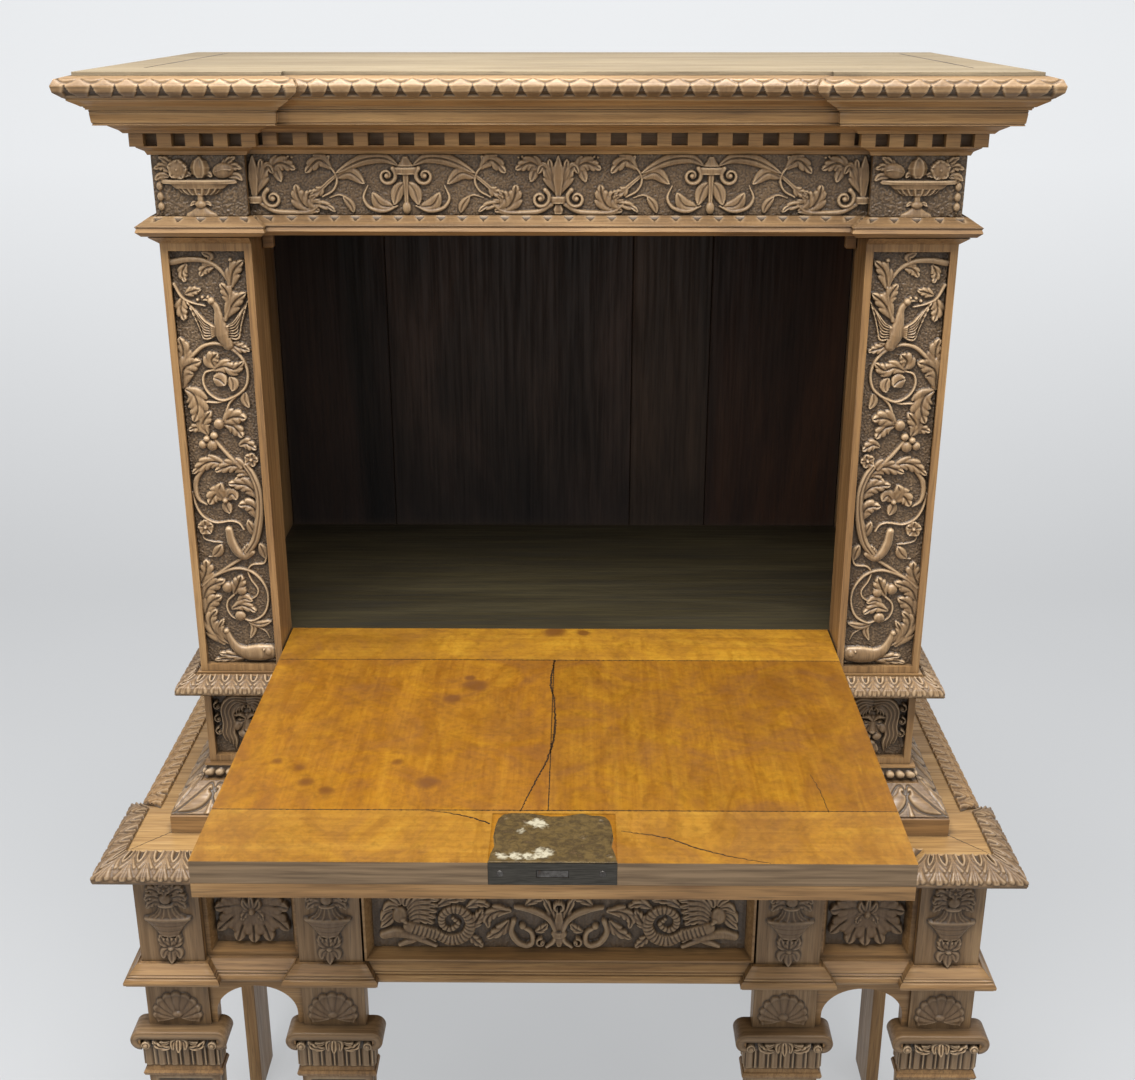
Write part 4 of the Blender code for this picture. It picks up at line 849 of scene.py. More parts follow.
def pilaster_carving(width, height):
    """Scrolling stems with leaves and flowers, a bird near the top and a dolphin at the foot."""
    r = Relief(width, height, pitch=0.65, seed=3, gain=1.2, spread=1.3)
    # Dolphin with its tail curled up, among water leaves
    r.stem([(36, 15), (22, 14), (6, 14), (-6, 20), (-13, 31), (-17, 42)], (9.5, 11, 9.5, 6.5, 4.5, 3.4), 8)
    r.dome(-17.5, 43, 3.8, 5.5)
    r.dome(34, 16, 7, 8.6)
    r.dome(29, 20, 1.7, 9.6)
    r.leaf([(8, 7), (-8, 9), (-29, 13)], 5, 5.5, 3)
    r.leaf([(2, 3), (-14, 5), (-36, 3)], 4, 4.5, 3)
    r.leaf([(30, 8), (38, 6), (42, 3)], 3, 4, 1)
    r.leaf([(-12, 24), (-22, 34), (-26, 46), (-19, 60)], 5, 5.5, 3)
    r.leaf([(-20, 24), (-34, 44), (-36, 60), (-26, 73)], 8, 6, 4)
    r.leaf([(-42, 64), (-35, 80), (-19, 91)], 7.5, 5.5, 3)
    r.leaf([(-43, 86), (-34, 102), (-13, 112)], 7.5, 5.5, 3)
    r.leaf([(-43, 108), (-36, 122), (-34, 139)], 7.5, 5.5, 3)
    # Lower scroll with its flower
    loop = [
        (-42, 104), (-26, 117), (-8, 125), (8, 127), (24, 120), (36, 103), (38, 84), (31, 66), (16, 57),
        (6, 60),
    ]
    r.stem(loop, (2.4, 1.9, 1.6), 4.5)
    r.stem([(-38, 109), (-14, 125), (13, 143)], (1.6, 2.4), 4)
    r.stem([(-4, 92), (-12, 84), (-14, 74), (-10, 64), (-2, 58)], (1.7, 1.2), 3.5)
    r.leaf([(-4, 93), (2, 104), (8, 119)], 7, 6.8, 3)
    r.dome(-11, 102, 7, 6.4)
    r.dome(6, 98, 6.2, 6.2)
    r.leaf([(-9, 73), (6, 78), (23, 70)], 5.5, 6, 3)
    r.dome(2, 64, 6.8, 6.4)
    r.leaf([(0, 81), (8, 87), (19, 84)], 4.5, 5, 1)
    r.leaf([(10, 56), (24, 52), (41, 57)], 3.6, 4.5, 1)
    r.leaf([(13, 57), (17, 46), (12, 33)], 3, 4, 1)
    r.stem([(22, 49), (32, 42), (36, 33)], (1.3, 0.8), 3)
    tendril = [(40, 142), (36, 134), (22, 132), (16, 124), (19, 112), (26, 100), (24, 91), (15, 85)]
    r.stem(tendril, (1.7, 1.2), 3.5)
    r.leaf([(39, 140), (37, 150), (33, 161)], 4.6, 5.5, 1)
    # Great acanthus curl and its flower
    r.stem([(-3, 178), (-1, 163), (5, 150), (14, 144), (23, 149)], (4.5, 5.4, 5.2, 4), 7.5)
    r.leaf([(8, 147), (16, 151), (19, 160)], 4, 6, 3)
    trunk = [(17, 149), (27, 163), (33, 182), (37, 205), (37, 228), (31, 248), (24, 260)]
    r.stem(trunk, (4.5, 5.6, 5.2, 4), 7.5, groove=1.5)
    r.leaf([(35, 190), (28, 208), (11, 211)], 7.5, 7, 3)
    r.leaf([(38, 216), (25, 234), (1, 238)], 7.5, 7, 4)
    r.leaf([(33, 244), (20, 246), (9, 241)], 4.5, 6, 3)
    r.leaf([(31, 168), (24, 182), (21, 191)], 4.5, 5.5, 1)
    r.leaf([(30, 250), (10, 260), (-14, 253)], 7, 6.5, 4)
    r.leaf([(2, 261), (-20, 264), (-41, 250)], 6.5, 6, 4)
    r.stem([(-26, 256), (-36, 244), (-39, 230), (-36, 217), (-27, 210)], (2, 3.4, 3, 1.4), 5.5)
    r.stem([(-43, 226), (-40, 208), (-32, 194), (-18, 187), (0, 189), (10, 186), (15, 178)], (1.9, 1.4), 4)
    r.leaf([(-4, 216), (-15, 223), (-24, 211)], 7.5, 6.8, 3)
    r.leaf([(-4, 217), (-10, 227), (-7, 238)], 5.5, 6, 1)
    r.leaf([(-3, 216), (4, 224), (11, 217)], 5.5, 6, 1)
    r.leaf([(-4, 215), (-3, 207), (1, 199)], 4.5, 5.5, 1)
    r.dome(-4, 216, 3.6, 7.4)
    r.flower(-31, 181, 10, 5, 5.5, turn=20, width=0.5)
    r.stem([(-36, 174), (-34, 166), (-24, 162), (-13, 161)], (1.2, 0.9), 3)
    r.leaf([(-26, 143), (-19, 149), (-13, 159)], 4.6, 5.5, 1)
    r.stem([(-18, 149), (-24, 143), (-31, 142)], (1.4, 0.8), 3)
    # Fruits and leaves above the curl
    r.stem([(18, 257), (6, 270), (-6, 285), (-12, 294)], (2.8, 2), 5)
    for u, v, radius in ((-14, 285, 6.8), (-25, 286, 5.2), (-11, 297, 4.6), (-20, 293, 4.2), (-4, 311, 6.4)):
        r.dome(u, v, radius, 7)
    r.leaf([(-18, 297), (-23, 311), (-12, 327)], 6.5, 6, 3)
    r.leaf([(-20, 301), (-28, 307), (-41, 304)], 5, 5.5, 3)
    r.leaf([(0, 313), (14, 320), (30, 319)], 7.5, 7, 3)
    r.leaf([(1, 311), (13, 308), (24, 295)], 6.5, 6, 3)
    r.stem([(4, 315), (7, 328), (11, 337), (18, 344)], (2.1, 1.5), 4.5)
    r.leaf([(17, 284), (26, 287), (39, 280)], 5.5, 5.5, 3)
    r.flower(31, 267, 9, 5, 5.5)
    # Round tendril with leaves inside
    ring = [
        (-30, 392), (-14, 405), (2, 408), (18, 402), (30, 390), (35, 373), (31, 356), (18, 345), (2, 340),
        (-12, 348), (-18, 361), (-15, 373), (-4, 377),
    ]
    r.stem(ring, (2.6, 2.1, 1.8, 1.5), 5)
    r.stem([(-16, 338), (0, 338), (16, 345)], (1.7, 1.2), 4)
    r.leaf([(-6, 376), (8, 381), (20, 378), (32, 387)], 6.5, 6.5, 4)
    r.leaf([(-6, 368), (2, 365), (9, 359)], 6.5, 6.8, 1)
    r.leaf([(14, 369), (17, 360), (16, 351)], 4.8, 6, 1)
    r.leaf([(-2, 378), (-6, 388), (2, 397)], 7.5, 6, 3)
    r.leaf([(-43, 354), (-39, 378), (-18, 388)], 9.5, 6.5, 4)
    r.leaf([(-41, 354), (-30, 346), (-27, 330), (-33, 314)], 9.5, 6.5, 4)
    r.leaf([(-43, 382), (-38, 398), (-41, 416)], 7, 5.5, 3)
    r.leaf([(30, 350), (29, 340), (34, 331)], 3.8, 4.5, 1)
    # Bird with its wings spread
    r.stem([(15, 407), (10, 420), (7, 436), (5, 450), (-1, 458)], (6.5, 8.5, 6.5, 4, 3.4), 8.5)
    r.dome(-0.5, 458, 4.2, 8)
    r.stem([(-3, 459), (-12, 459)], (1.8, 0.6), 5.5)
    for i in range(6):
        fall = 6.5 * i
        for root, bend, tip, top in ((6, -10, -28 + 2.6 * i, 456), (10, 26, 42 - 2.4 * i, 458)):
            feather = [(root, 426 - i), (bend, 434 - 0.6 * fall), (tip, top - fall)]
            r.stem(feather, (1.6, 2.7, 1.2), 7.5 - 0.3 * i)
    for i in range(6):
        fall = 6.5 * i - 3.2
        for root, bend, tip, top in ((-4, -12, -28 + 2.6 * i, 456), (18, 27, 42 - 2.4 * i, 458)):
            r.cut([(root, 428 - 0.4 * fall), (bend, 434 - 0.6 * fall), (tip, top - fall)], 0.8, 3.2)
    r.leaf([(14, 410), (26, 404), (41, 400)], 5, 5.5, 4)
    r.berries([(-16, 459), (-10, 462), (-4, 462)], 2.1, 4.5)
    # Leafy head of the stem
    r.stem([(-42, 477), (-34, 462), (-24, 456), (-8, 452)], (2.3, 1.7, 1.2), 4.5)
    r.leaf([(-33, 463), (-36, 448), (-32, 435)], 6, 6, 3)
    r.leaf([(-31, 465), (-20, 469), (-11, 471)], 4.4, 5, 3)
    r.stem([(-42, 502), (-24, 505), (-6, 504), (10, 496), (20, 482), (22, 472)], (3.8, 3.2, 2.4, 1.9), 5.5)
    r.leaf([(-25, 501), (-31, 490), (-28, 479)], 4.4, 5, 3)
    r.leaf([(7, 497), (-4, 495), (-11, 486)], 5, 5.5, 3)
    r.leaf([(0, 503), (2, 509), (-7, 514)], 3.4, 4.5, 1)
    r.leaf([(23, 472), (28, 492), (41, 505)], 6.5, 6.5, 3)
    r.stem([(21, 478), (23, 492), (25, 503)], (1.0,), 3.5)
    r.dome(25, 505, 2.6, 4.5)
    r.leaf([(20, 450), (20, 464), (12, 479)], 6, 6, 3)
    r.leaf([(14, 437), (26, 456), (41, 468)], 6.5, 6.5, 3)
    r.stem([(14, 436), (20, 452), (23, 474)], (2.6, 1.9), 5)
    return r


def dress_pilasters():
    """Carves the sunk panels of both pilasters."""
    for side, mirror in HALVES:
        block_low, block_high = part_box(f"frieze_block_{side}")
        foot = low(f"pilaster_{side}").z + PANEL_FRAME
        top = high(f"pilaster_{side}").z - CAPITAL_HEIGHT - PANEL_FRAME
        relief = pilaster_carving((block_high.x - block_low.x - 2 * PANEL_FRAME) / MM, (top - foot) / MM)
        place = on_front((block_low.x + block_high.x) / 2, foot, FACE_Y + PANEL_SINK - SEAT, mirror)
        carving(f"pilaster_carving_{side}", relief, place, "cabinet", carved_walnut)


def frieze_quarter(r, middle, turn):
    """Scrolls from an inverted motif to the upright one beside it. turn is the direction, 1 or -1."""
    def at(*points):
        return sided(turn, *points, middle=middle)

    r.leaf(at((8, 54), (24, 62), (48, 60), (78, 46)), 5.5, 5, 1, vein=1.6)
    r.leaf(at((78, 41), (62, 46), (46, 34)), 6, 5, 1)
    r.stem(at((92, 57), (81, 49), (77, 38), (82, 27), (94, 20)), (1.2, 1.6, 1.2), 4)
    r.leaf(at((82, 50), (96, 60), (112, 46)), 7, 5.5, 3)
    r.leaf(at((88, 54), (88, 60), (84, 65)), 3, 4, 1)
    r.stem(at((78, 43), (90, 33), (104, 20)), (2, 2.6), 4.5, groove=1.2)
    r.leaf(at((92, 32), (98, 26), (108, 22)), 5, 5.5, 3)
    r.leaf(at((118, 3), (104, 12), (88, 9), (80, 3)), 5, 5, 3)
    r.leaf(at((98, 4), (114, 9), (121, 20), (123, 34)), 9, 6, 4)
    r.leaf(at((106, 8), (110, 20), (104, 27)), 5.5, 5.5, 3)
    r.stem(at((94, 15), (108, 4), (128, 2.5), (148, 4), (163, 12)), (1.5, 2.6, 3.2, 2.6), 5)
    r.volute(middle + turn * 150, 18, 11, -1.35 * turn, 60 if turn > 0 else 120, 2.7, 5.5)
    r.leaf(at((154, 46), (140, 57), (122, 50)), 7.5, 5.5, 4)
    r.leaf(at((146, 54), (143, 46), (139, 36)), 4.5, 5, 1)
    r.stem(at((43, 32), (48, 19), (41, 8), (25, 4.5), (11, 10)), (0.8, 2.0, 2.8, 1.6), 5)
    r.leaf(at((14, 9), (29, 11), (38, 25)), 6.5, 5.5, 1)
    r.leaf(at((60, 2), (63, 11), (71, 21)), 4, 4.5, 1)
    r.stem(at((68, 20), (76, 22), (86, 19)), (1.4, 0.8), 3)
    r.berries(at((126, 63), (132, 64), (138, 62)), 1.6, 3.5)
    r.volute(middle + turn * 21, 43, 10.5, 1.35 * turn, 130 if turn > 0 else 50, 2.6, 5.5)
    r.leaf(at((2, 36), (9, 27), (14, 11)), 6, 5.5, 1)


def half_palmette(r, middle, turn):
    """The leaves of an upright motif to one side of its ribbed bud and collar. turn is that side, 1 or -1."""
    r.leaf(sided(turn, (1, 22), (9, 40), (17, 53), (23, 45), middle=middle), 6.5, 6, 3)
    r.leaf(sided(turn, (1, 22), (7, 42), (10, 62), middle=middle), 6, 6, 3)
    r.turned(middle, [(20, 3.5), (40, 7), (54, 5.5), (65, 1)], 6.8, ribs=4, cut=1.2)
    r.turned(middle, [(12.5, 8), (16.5, 9), (20.5, 8)], 6.5)


def frieze_carving(width, height):
    """Leaf scrolls between upright and inverted motifs. The left half is written out and mirrored."""
    r = Relief(width, height, pitch=0.65, seed=5, gain=1.25, spread=1.12)
    for turn in (1, -1):
        frieze_quarter(r, FRIEZE_MOTIF, turn)
    r.turned(FRIEZE_MOTIF, [(14, 3.0), (30, 3.2), (46, 4.6)], 6, ribs=6, cut=1.2)
    r.dome(FRIEZE_MOTIF, 8, 5, 6, tall=1.5)
    r.turned(FRIEZE_MOTIF, [(44.5, 13), (48.5, 14), (52.5, 13)], 6.5)
    r.turned(FRIEZE_MOTIF, [(53, 10), (58, 6), (64, 3)], 5)
    half_palmette(r, 0, -1)
    r.turned(0, [(1, 5), (6, 6), (12, 4)], 5.5, ribs=4, cut=1.0)
    # Half a motif where the scrolls end against the block
    half_palmette(r, 2 * FRIEZE_MOTIF, 1)
    r.mirror()
    return r


def tazza_carving(width, height):
    """A footed dish of fruit."""
    r = Relief(width, height, pitch=0.65, seed=7, gain=1.2)
    r.turned(0, [(0, 18), (3, 16.5), (6, 11), (9, 6.5), (10.5, 6)], 5.5)
    r.turned(0, [(9.5, 4), (12, 6.4), (14.5, 6.4), (17, 3.6), (22, 3.4), (25, 5)], 6.5)
    r.turned(0, [(23, 16), (26, 22), (31, 27)], 7.5, ribs=20, cut=2.4)
    r.turned(0, [(30.5, 27), (35.5, 33)], 7)
    r.turned(0, [(35.5, 41), (37.5, 42.5), (39.8, 41)], 7.5)
    for turn in (-1, 1):
        r.leaf(sided(turn, (3, 14), (8, 14.5), (12, 11)), 2.2, 4.5, 1)
        r.leaf(sided(turn, (28, 46), (38, 54), (49, 52)), 5, 5, 3)
        r.leaf(sided(turn, (24, 50), (34, 60), (43, 65)), 4.5, 5, 3)
        r.leaf(sided(turn, (32, 43), (42, 44), (49, 39)), 4, 4.5, 1)
        r.leaf(sided(turn, (8, 44), (12, 46), (15, 42)), 3, 5, 1)
    r.flower(-22.5, 51, 11.5, 5, 7, turn=10, width=0.62, eye=0.2)
    r.dome(-22.5, 51, 10.5, 6.6)
    r.turned(2, [(42, 5), (46, 9.5), (53, 11), (60, 8), (64, 2.5)], 8.5, ribs=6, cut=2.0)
    r.dome(28, 50, 8.5, 7.2, tall=1.45, tilt=-78)
    r.stem([(20, 49), (29, 51.5), (37, 51)], (0.8, 1.0), 8.3)
    r.dome(2.5, 63.5, 2.2, 5)
    for v in (33, 21.5, 10.5):
        r.dome(-44.5, v, 3.6, 5, tall=1.35)
    r.stem([(-44.5, 4), (-44.5, 42)], (0.8,), 2.5)
    r.leaf([(-44, 36), (-42, 42), (-38, 45)], 2.6, 4, 1)
    return r


def dress_frieze():
    """Carves the frieze and the blocks at its ends."""
    rail_low, rail_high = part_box("frieze_rail")
    relief = frieze_carving((rail_high.x - rail_low.x) / MM, (rail_high.z - rail_low.z) / MM)
    carving("frieze_carving", relief, on_front(0, rail_low.z, rail_low.y - SEAT), "cabinet", carved_walnut)
    for side, mirror in HALVES:
        block_low, block_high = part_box(f"frieze_block_{side}")
        relief = tazza_carving((block_high.x - block_low.x) / MM, (block_high.z - block_low.z) / MM)
        place = on_front((block_low.x + block_high.x) / 2, block_low.z, FACE_Y - SEAT, mirror)
        carving(f"tazza_carving_{side}", relief, place, "cabinet", carved_walnut)


def lion_mask(width, height):
    """A lion's face framed by a parted mane with curls at both sides, on the sunk ground of a pedestal."""
    r = Relief(width, height, seed=11, pitch=0.7, gain=1.1, stain=0.6)
    for turn in (-1, 1):
        for i in range(7):
            lock = [
                (0.6, 66 + 2.4 * i), (9 + 1.8 * i, 71 + 1.6 * i), (18 + 2.3 * i, 60 + i), (16 + 2.5 * i, 44),
                (18.5 + 2.4 * i, 31), (16 + 2.4 * i, 19), (18 + 1.8 * i, 6 + 2 * i),
            ]
            r.stem(sided(turn, *lock), (1.3, 2.2, 2.1, 1.8, 1.9, 1.7, 0.7), 7.4 - 1.6 * (i % 2))
        for v in (68, 50, 32):
            r.volute(turn * 37, v, 6.0, -0.9 * turn, 100, 1.9, 7.0)
    r.dome(0, 44, 18.5, 7.0, tall=1.12)
    for turn in (-1, 1):
        for i in range(4):
            tuft = [
                (0.8, 66), (3 + 2.6 * i, 70 - 0.6 * i), (5.5 + 3.6 * i, 66 - 2 * i),
                (4.5 + 3.8 * i, 60 - 2.4 * i),
            ]
            r.stem(sided(turn, *tuft), (0.9, 1.7, 1.8, 0.8), 8.8 - 0.8 * (i % 2))
    r.stem([(0, 57), (0, 46), (0, 38)], (3.6, 3.8, 5.4), 10.0)
    r.dome(0, 36.5, 6.0, 11.2, tall=0.7)
    for turn in (-1, 1):
        r.dome(turn * 13.5, 40, 6.0, 8.2, tall=1.2)
        r.dome(turn * 6.2, 29.5, 7.2, 10.2, tall=0.9)
        r.stem(sided(turn, (1.5, 53), (7, 58), (15, 56)), (2.8, 3.6, 1.6), 10.2)
        r.cut(sided(turn, (4.5, 52), (9, 53.4), (14.5, 50)), 1.3, 5.0)
        r.dome(turn * 8.6, 50, 2.3, 8.0)
        r.cut(sided(turn, (5, 48.2), (9, 47), (14, 48)), 0.9, 2.6)
        r.cut(sided(turn, (5, 45), (8, 38), (14, 32)), 0.9, 2.0)
        r.cut(sided(turn, (0, 26), (6, 23.4), (13, 26.5)), 1.2, 5.5)
        r.cut(sided(turn, (2.2, 34), (4.2, 35.6)), 1.1, 3.2)
    r.cut([(0, 33), (0, 27)], 0.8, 3.0)
    r.dome(0, 19.5, 6.4, 8.4, tall=0.7)
    for i in range(-3, 4):
        r.stem([(2.4 * i, 16), (3.0 * i, 9), (2.2 * i, 2)], (1.6, 1.8, 0.6), 6, groove=1.0)
    return r


def dress_pedestals():
    """Carves the sunk panels of both pedestals."""
    for side, mirror in HALVES:
        block_low, block_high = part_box(f"pedestal_{side}")
        size = [(block_high[i] - block_low[i] - 2 * PANEL_FRAME) / MM for i in (0, 2)]
        middle, foot = (block_low.x + block_high.x) / 2, block_low.z + PANEL_FRAME
        place = on_front(middle, foot, FACE_Y + PANEL_SINK - SEAT, mirror)
        carving(f"lion_mask_{side}", lion_mask(*size), place, "cabinet", carved_walnut)


def urn_carving(width, height):
    """An urn of flowers on a husk, on a smooth leg block."""
    r = Relief(width, height, seed=13, punched=0, gain=1.35, spread=1.15, stain=0.85)
    for turn in (-1, 1):
        r.leaf(sided(turn, (2, 21), (9, 17), (11, 7)), 4.6, 5, 1)
        r.leaf(sided(turn, (2, 24), (9, 31), (12, 44)), 5, 5.5, 3)
        r.leaf(sided(turn, (4, 92), (16, 92), (26, 84)), 5.5, 5, 3)
        r.leaf(sided(turn, (6, 98), (19, 101), (27, 96)), 6, 5.5, 3)
        r.leaf(sided(turn, (5, 104), (16, 112), (25, 110)), 6, 5.5, 3)
        r.leaf(sided(turn, (2, 108), (8, 119), (14, 122)), 5.5, 5.5, 3)
    r.leaf([(0, 20), (0, 10), (0, 0.5)], 5, 6, 1)
    r.turned(0, [(20, 3.2), (22.5, 4.6), (25, 3.4)], 6)
    r.leaf([(0, 24), (0, 33), (0, 45)], 5, 6.5, 3)
    r.turned(0, [(42, 12), (48, 15), (56, 20), (63, 26), (66, 28.5)], 7)
    r.turned(0, [(65.5, 29), (67.5, 30.5), (70, 29)], 7.6)
    r.turned(0, [(70, 25), (74, 17), (80, 12.5), (87, 10.5)], 7, ribs=14, cut=1.8)
    r.turned(0, [(86, 10), (88, 11.5), (90, 10)], 7)
    r.dome(0, 98, 8, 7.5)
    r.flower(0, 113, 9, 6, 6.5, turn=30, width=0.5)
    r.leaf([(0, 118), (1, 126), (0, 133)], 3.6, 5, 1)
    for v in (50, 58):
        r.cut([(-24, v + 1.5), (0, v), (24, v + 1.5)], 0.7, 0.9)
    return r


def shell_carving(width, height):
    """A scallop shell with sharp ribs and a scalloped rim."""
    r = Relief(width, height, seed=17, pitch=0.7, punched=0, stain=0.8)
    middle, foot, spread, ribs = -1.5, 19.0, 30.0, 10
    du, dv = r.u - middle, r.v - foot
    angle = np.arctan2(du, np.maximum(dv, -6) + 7)
    wave = np.abs(np.cos(angle * ribs * 0.9))
    share = np.hypot(du, dv * 0.92) / (spread + 2.6 * wave)
    inside = (share < 1) & (dv > -5 - 0.25 * np.abs(du))
    rim = np.exp(-((share - 0.93) / 0.06) ** 2)
    crown = 2.4 + 3.2 * np.sin(np.pi * np.clip(share, 0, 1) ** 1.3) ** 0.8
    tall = crown - 2.6 * (1 - wave ** 0.6) * share ** 0.6 + 1.6 * rim
    r.h = np.where(inside, np.maximum(tall, 0.6), r.h)
    r.dome(middle, foot + 1, 7.5, 7.5, tall=0.7)
    for turn in (-1, 1):
        r.leaf(sided(turn, (2, foot), (12, foot + 3), (20, foot - 3), middle=middle), 4.2, 5.5, 1)
    return r


def capital_carving(width, height):
    """Leaf swags between a husk and the eyes of the two scrolls."""
    r = Relief(width, height, seed=19, punched=0.5, pitch=0.7)
    r.leaf([(0, height), (0, height * 0.55), (0, 0.5)], 5.0, 15, 1, vein=2.0)
    for turn in (-1, 1):
        r.leaf(sided(turn, (2, height * 0.85), (8, height * 0.66), (8, 2)), 4.0, 12, 1, vein=1.6)
        r.leaf(sided(turn, (10, 4), (19, 4), (28, 8), (34, height * 0.85)), 5.2, 12, 3, vein=1.6)
        r.leaf(sided(turn, (11, 14), (18, 11), (26, 15)), 3.0, 10, 1)
        r.dome(turn * SCROLL_EYE, 9.5, 6.0, 12.5, base=0.6)
        r.cut(spiral(turn * SCROLL_EYE, 9.5, 3.8, turn * 0.95, 90, eye=0.9), 0.7, 2.4)
    return r


def on_strap(middle):
    """Lays a relief over a capital's strap: its front face, then back over its top and round its ends."""
    radius = LEG_CAPITAL_HEIGHT / 2
    centre = LEG_WIDTH / 2 + CAPITAL_SPREAD - radius
    turns = np.linspace(-math.pi / 2, math.pi / 2, 24)
    end = np.column_stack([np.cos(turns), np.sin(turns)])
    normals = np.vstack([end * (-1, 1), end[::-1]])
    path = normals * radius + np.repeat([[-centre, 0], [centre, 0]], len(turns), axis=0)
    travel = travelled(path)
    back = CAPITAL_REACH + SHAFT_DEPTH - 0.004
    edge = np.array([(-CAPITAL_STRAP, 0), (-0.002, 0), (-0.0006, 0.0005), (0, 0.002), (0, back)])
    girth = travelled(edge)
    lean = np.gradient(edge, girth, axis=0)

    def place(u, v, h):
        along, up, rise = u * MM + travel[-1] / 2, v * MM, h * MM + SEAT
        out = np.interp(up, girth, edge[:, 0]) + rise * np.interp(up, girth, lean[:, 1])
        depth = np.interp(up, girth, edge[:, 1]) - rise * np.interp(up, girth, lean[:, 0])
        x, z = (
            np.interp(along, travel, path[:, axis]) + np.interp(along, travel, normals[:, axis]) * out
            for axis in (0, 1)
        )
        return middle + x, LEG_FACE_Y - CAPITAL_REACH + depth, SHELL_FOOT - radius + z
    return place, travel[-1] / MM, girth[-1] / MM


def strap_relief(width, height):
    """A smooth strap with a groove along both sides of its front face."""
    r = Relief(width, height, seed=77, punched=0, stain=0.15, along=2.5)
    r.h += 0.9
    for line in (1.2, 7.6):
        r.h -= 0.8 * np.exp(-((r.v - line) / 0.8) ** 2)
    return r


def reeds(width, height):
    """Upright reeds, a broad and a narrow one in turn, parted by dark grooves."""
    r = Relief(width, height, seed=23, punched=0, stain=0.3)
    pitch = width / max(1, round(width / REED_PITCH))
    across = ((r.u + width / 2) % pitch) / pitch
    broad = np.sqrt(np.clip(1 - ((across - 0.36) / 0.29) ** 2, 0, 1))
    narrow = 0.8 * np.sqrt(np.clip(1 - ((across - 0.85) / 0.10) ** 2, 0, 1))
    r.h = 0.1 + 4.0 * np.maximum(broad, narrow) * np.clip((r.v - 1) / 3, 0, 1)
    return r


def shaft_carving(width, height):
    """A raised border, with a drop of husks where there is room for one, on a tapering shaft."""
    r = Relief(width, height, seed=29, punched=0.8, pitch=1.9)
    edge = np.minimum(width / 2 - np.abs(r.u), np.minimum(r.v, height - r.v))
    r.h = np.where(edge < min(9, width / 4), 3.0, r.h)
    count = 6 if width > 50 else 0
    for i in range(count):
        v = height - 22 - i * (height - 50) / count
        size = 1 - 0.07 * i
        for turn in (-1, 1):
            r.leaf(sided(turn, (2, v), (12 * size, v - 8), (13 * size, v - 28)), 6 * size, 4, 3)
        r.leaf([(0, v), (0, v - 16), (0, v - 36)], 6.5 * size, 5, 1)
        r.dome(0, v + 1, 4 * size, 4.5)
    return r


def square_faces(box_low, box_high):
    """The four upright faces of a square leg, each between two corners with their mitres."""
    corners = [
        (box_low[0], box_low[1], -1, -1), (box_high[0], box_low[1], 1, -1),
        (box_high[0], box_high[1], 1, 1), (box_low[0], box_high[1], -1, 1),
    ]
    return [(corners[i], corners[(i + 1) % 4]) for i in range(4)]


def carve_collar(name, start, end, finishes):
    """A run of the moulding between the stand's frieze and the shell blocks."""
    profile = shaped(COLLAR_CARVED, COLLAR_REACH, SHELL_TOP, BLOCK_FOOT)
    carve_run(name, lined(*COLLAR_LINES), start, end, profile, finishes)


def dress_legs():
    """Urns and shells on the blocks, collars, scrolled capitals, reeded necks and carved shafts."""
    neck = [(NECK_REACH, NECK_FOOT), (NECK_REACH, CAPITAL_FOOT)]
    shaft = [(-SHAFT_TAPER, LEG_BASE_TOP), (SHAFT_SWELL, NECK_RING_FOOT)]
    face, shaft_back = LEG_FACE_Y - SEAT, LEG_FACE_Y + SHAFT_DEPTH
    field_y = LEG_FACE_Y - CAPITAL_REACH + CAPITAL_SINK - SEAT
    urn = urn_carving(LEG_WIDTH / MM, (BLOCK_TOP - BLOCK_FOOT) / MM)
    shell = shell_carving(LEG_WIDTH / MM, (SHELL_TOP - SHELL_FOOT) / MM)
    swags = capital_carving(CAPITAL_FIELD / MM, (LEG_CAPITAL_HEIGHT - CAPITAL_STRAP + SWAG_DROP) / MM)
    fields = (
        ("urn_carving", urn, BLOCK_FOOT, face),
        ("shell_carving", shell, SHELL_FOOT, face),
        ("capital_carving", swags, CAPITAL_FOOT - SWAG_DROP, field_y),
    )
    for number, middle in enumerate((-OUTER_LEG_X, -INNER_LEG_X, INNER_LEG_X, OUTER_LEG_X), 1):
        for name, relief, foot, ground in fields:
            carving(f"{name}_{number}", relief, on_front(middle, foot, ground), "cabinet", carved_walnut)
        place, length, girth = on_strap(middle)
        carving(f"capital_strap_{number}", strap_relief(length, girth), place, "cabinet", carved_along[0])
        left, right = middle - LEG_WIDTH / 2, middle + LEG_WIDTH / 2
        block_faces = square_faces((left, LEG_FACE_Y), (right, LEG_FACE_Y + LEG_DEPTH))
        for side, (start, end) in zip(SIDES, block_faces):
            carve_collar(f"leg_collar_{number}_{side}", start, end, moulded_along)
        front = ((left, LEG_FACE_Y, -1, -1), (right, LEG_FACE_Y, 1, -1))
        faces = {
            "front": front,
            "right": (front[1], (right, shaft_back, 1, 0)),
            "left": ((left, shaft_back, -1, 0), front[0]),
        }
        for side, (start, end) in faces.items():
            carve_run(f"neck_reeds_{number}_{side}", reeds, start, end, neck, grain=2)
            carve_run(f"shaft_carving_{number}_{side}", shaft_carving, start, end, shaft, grain=2)


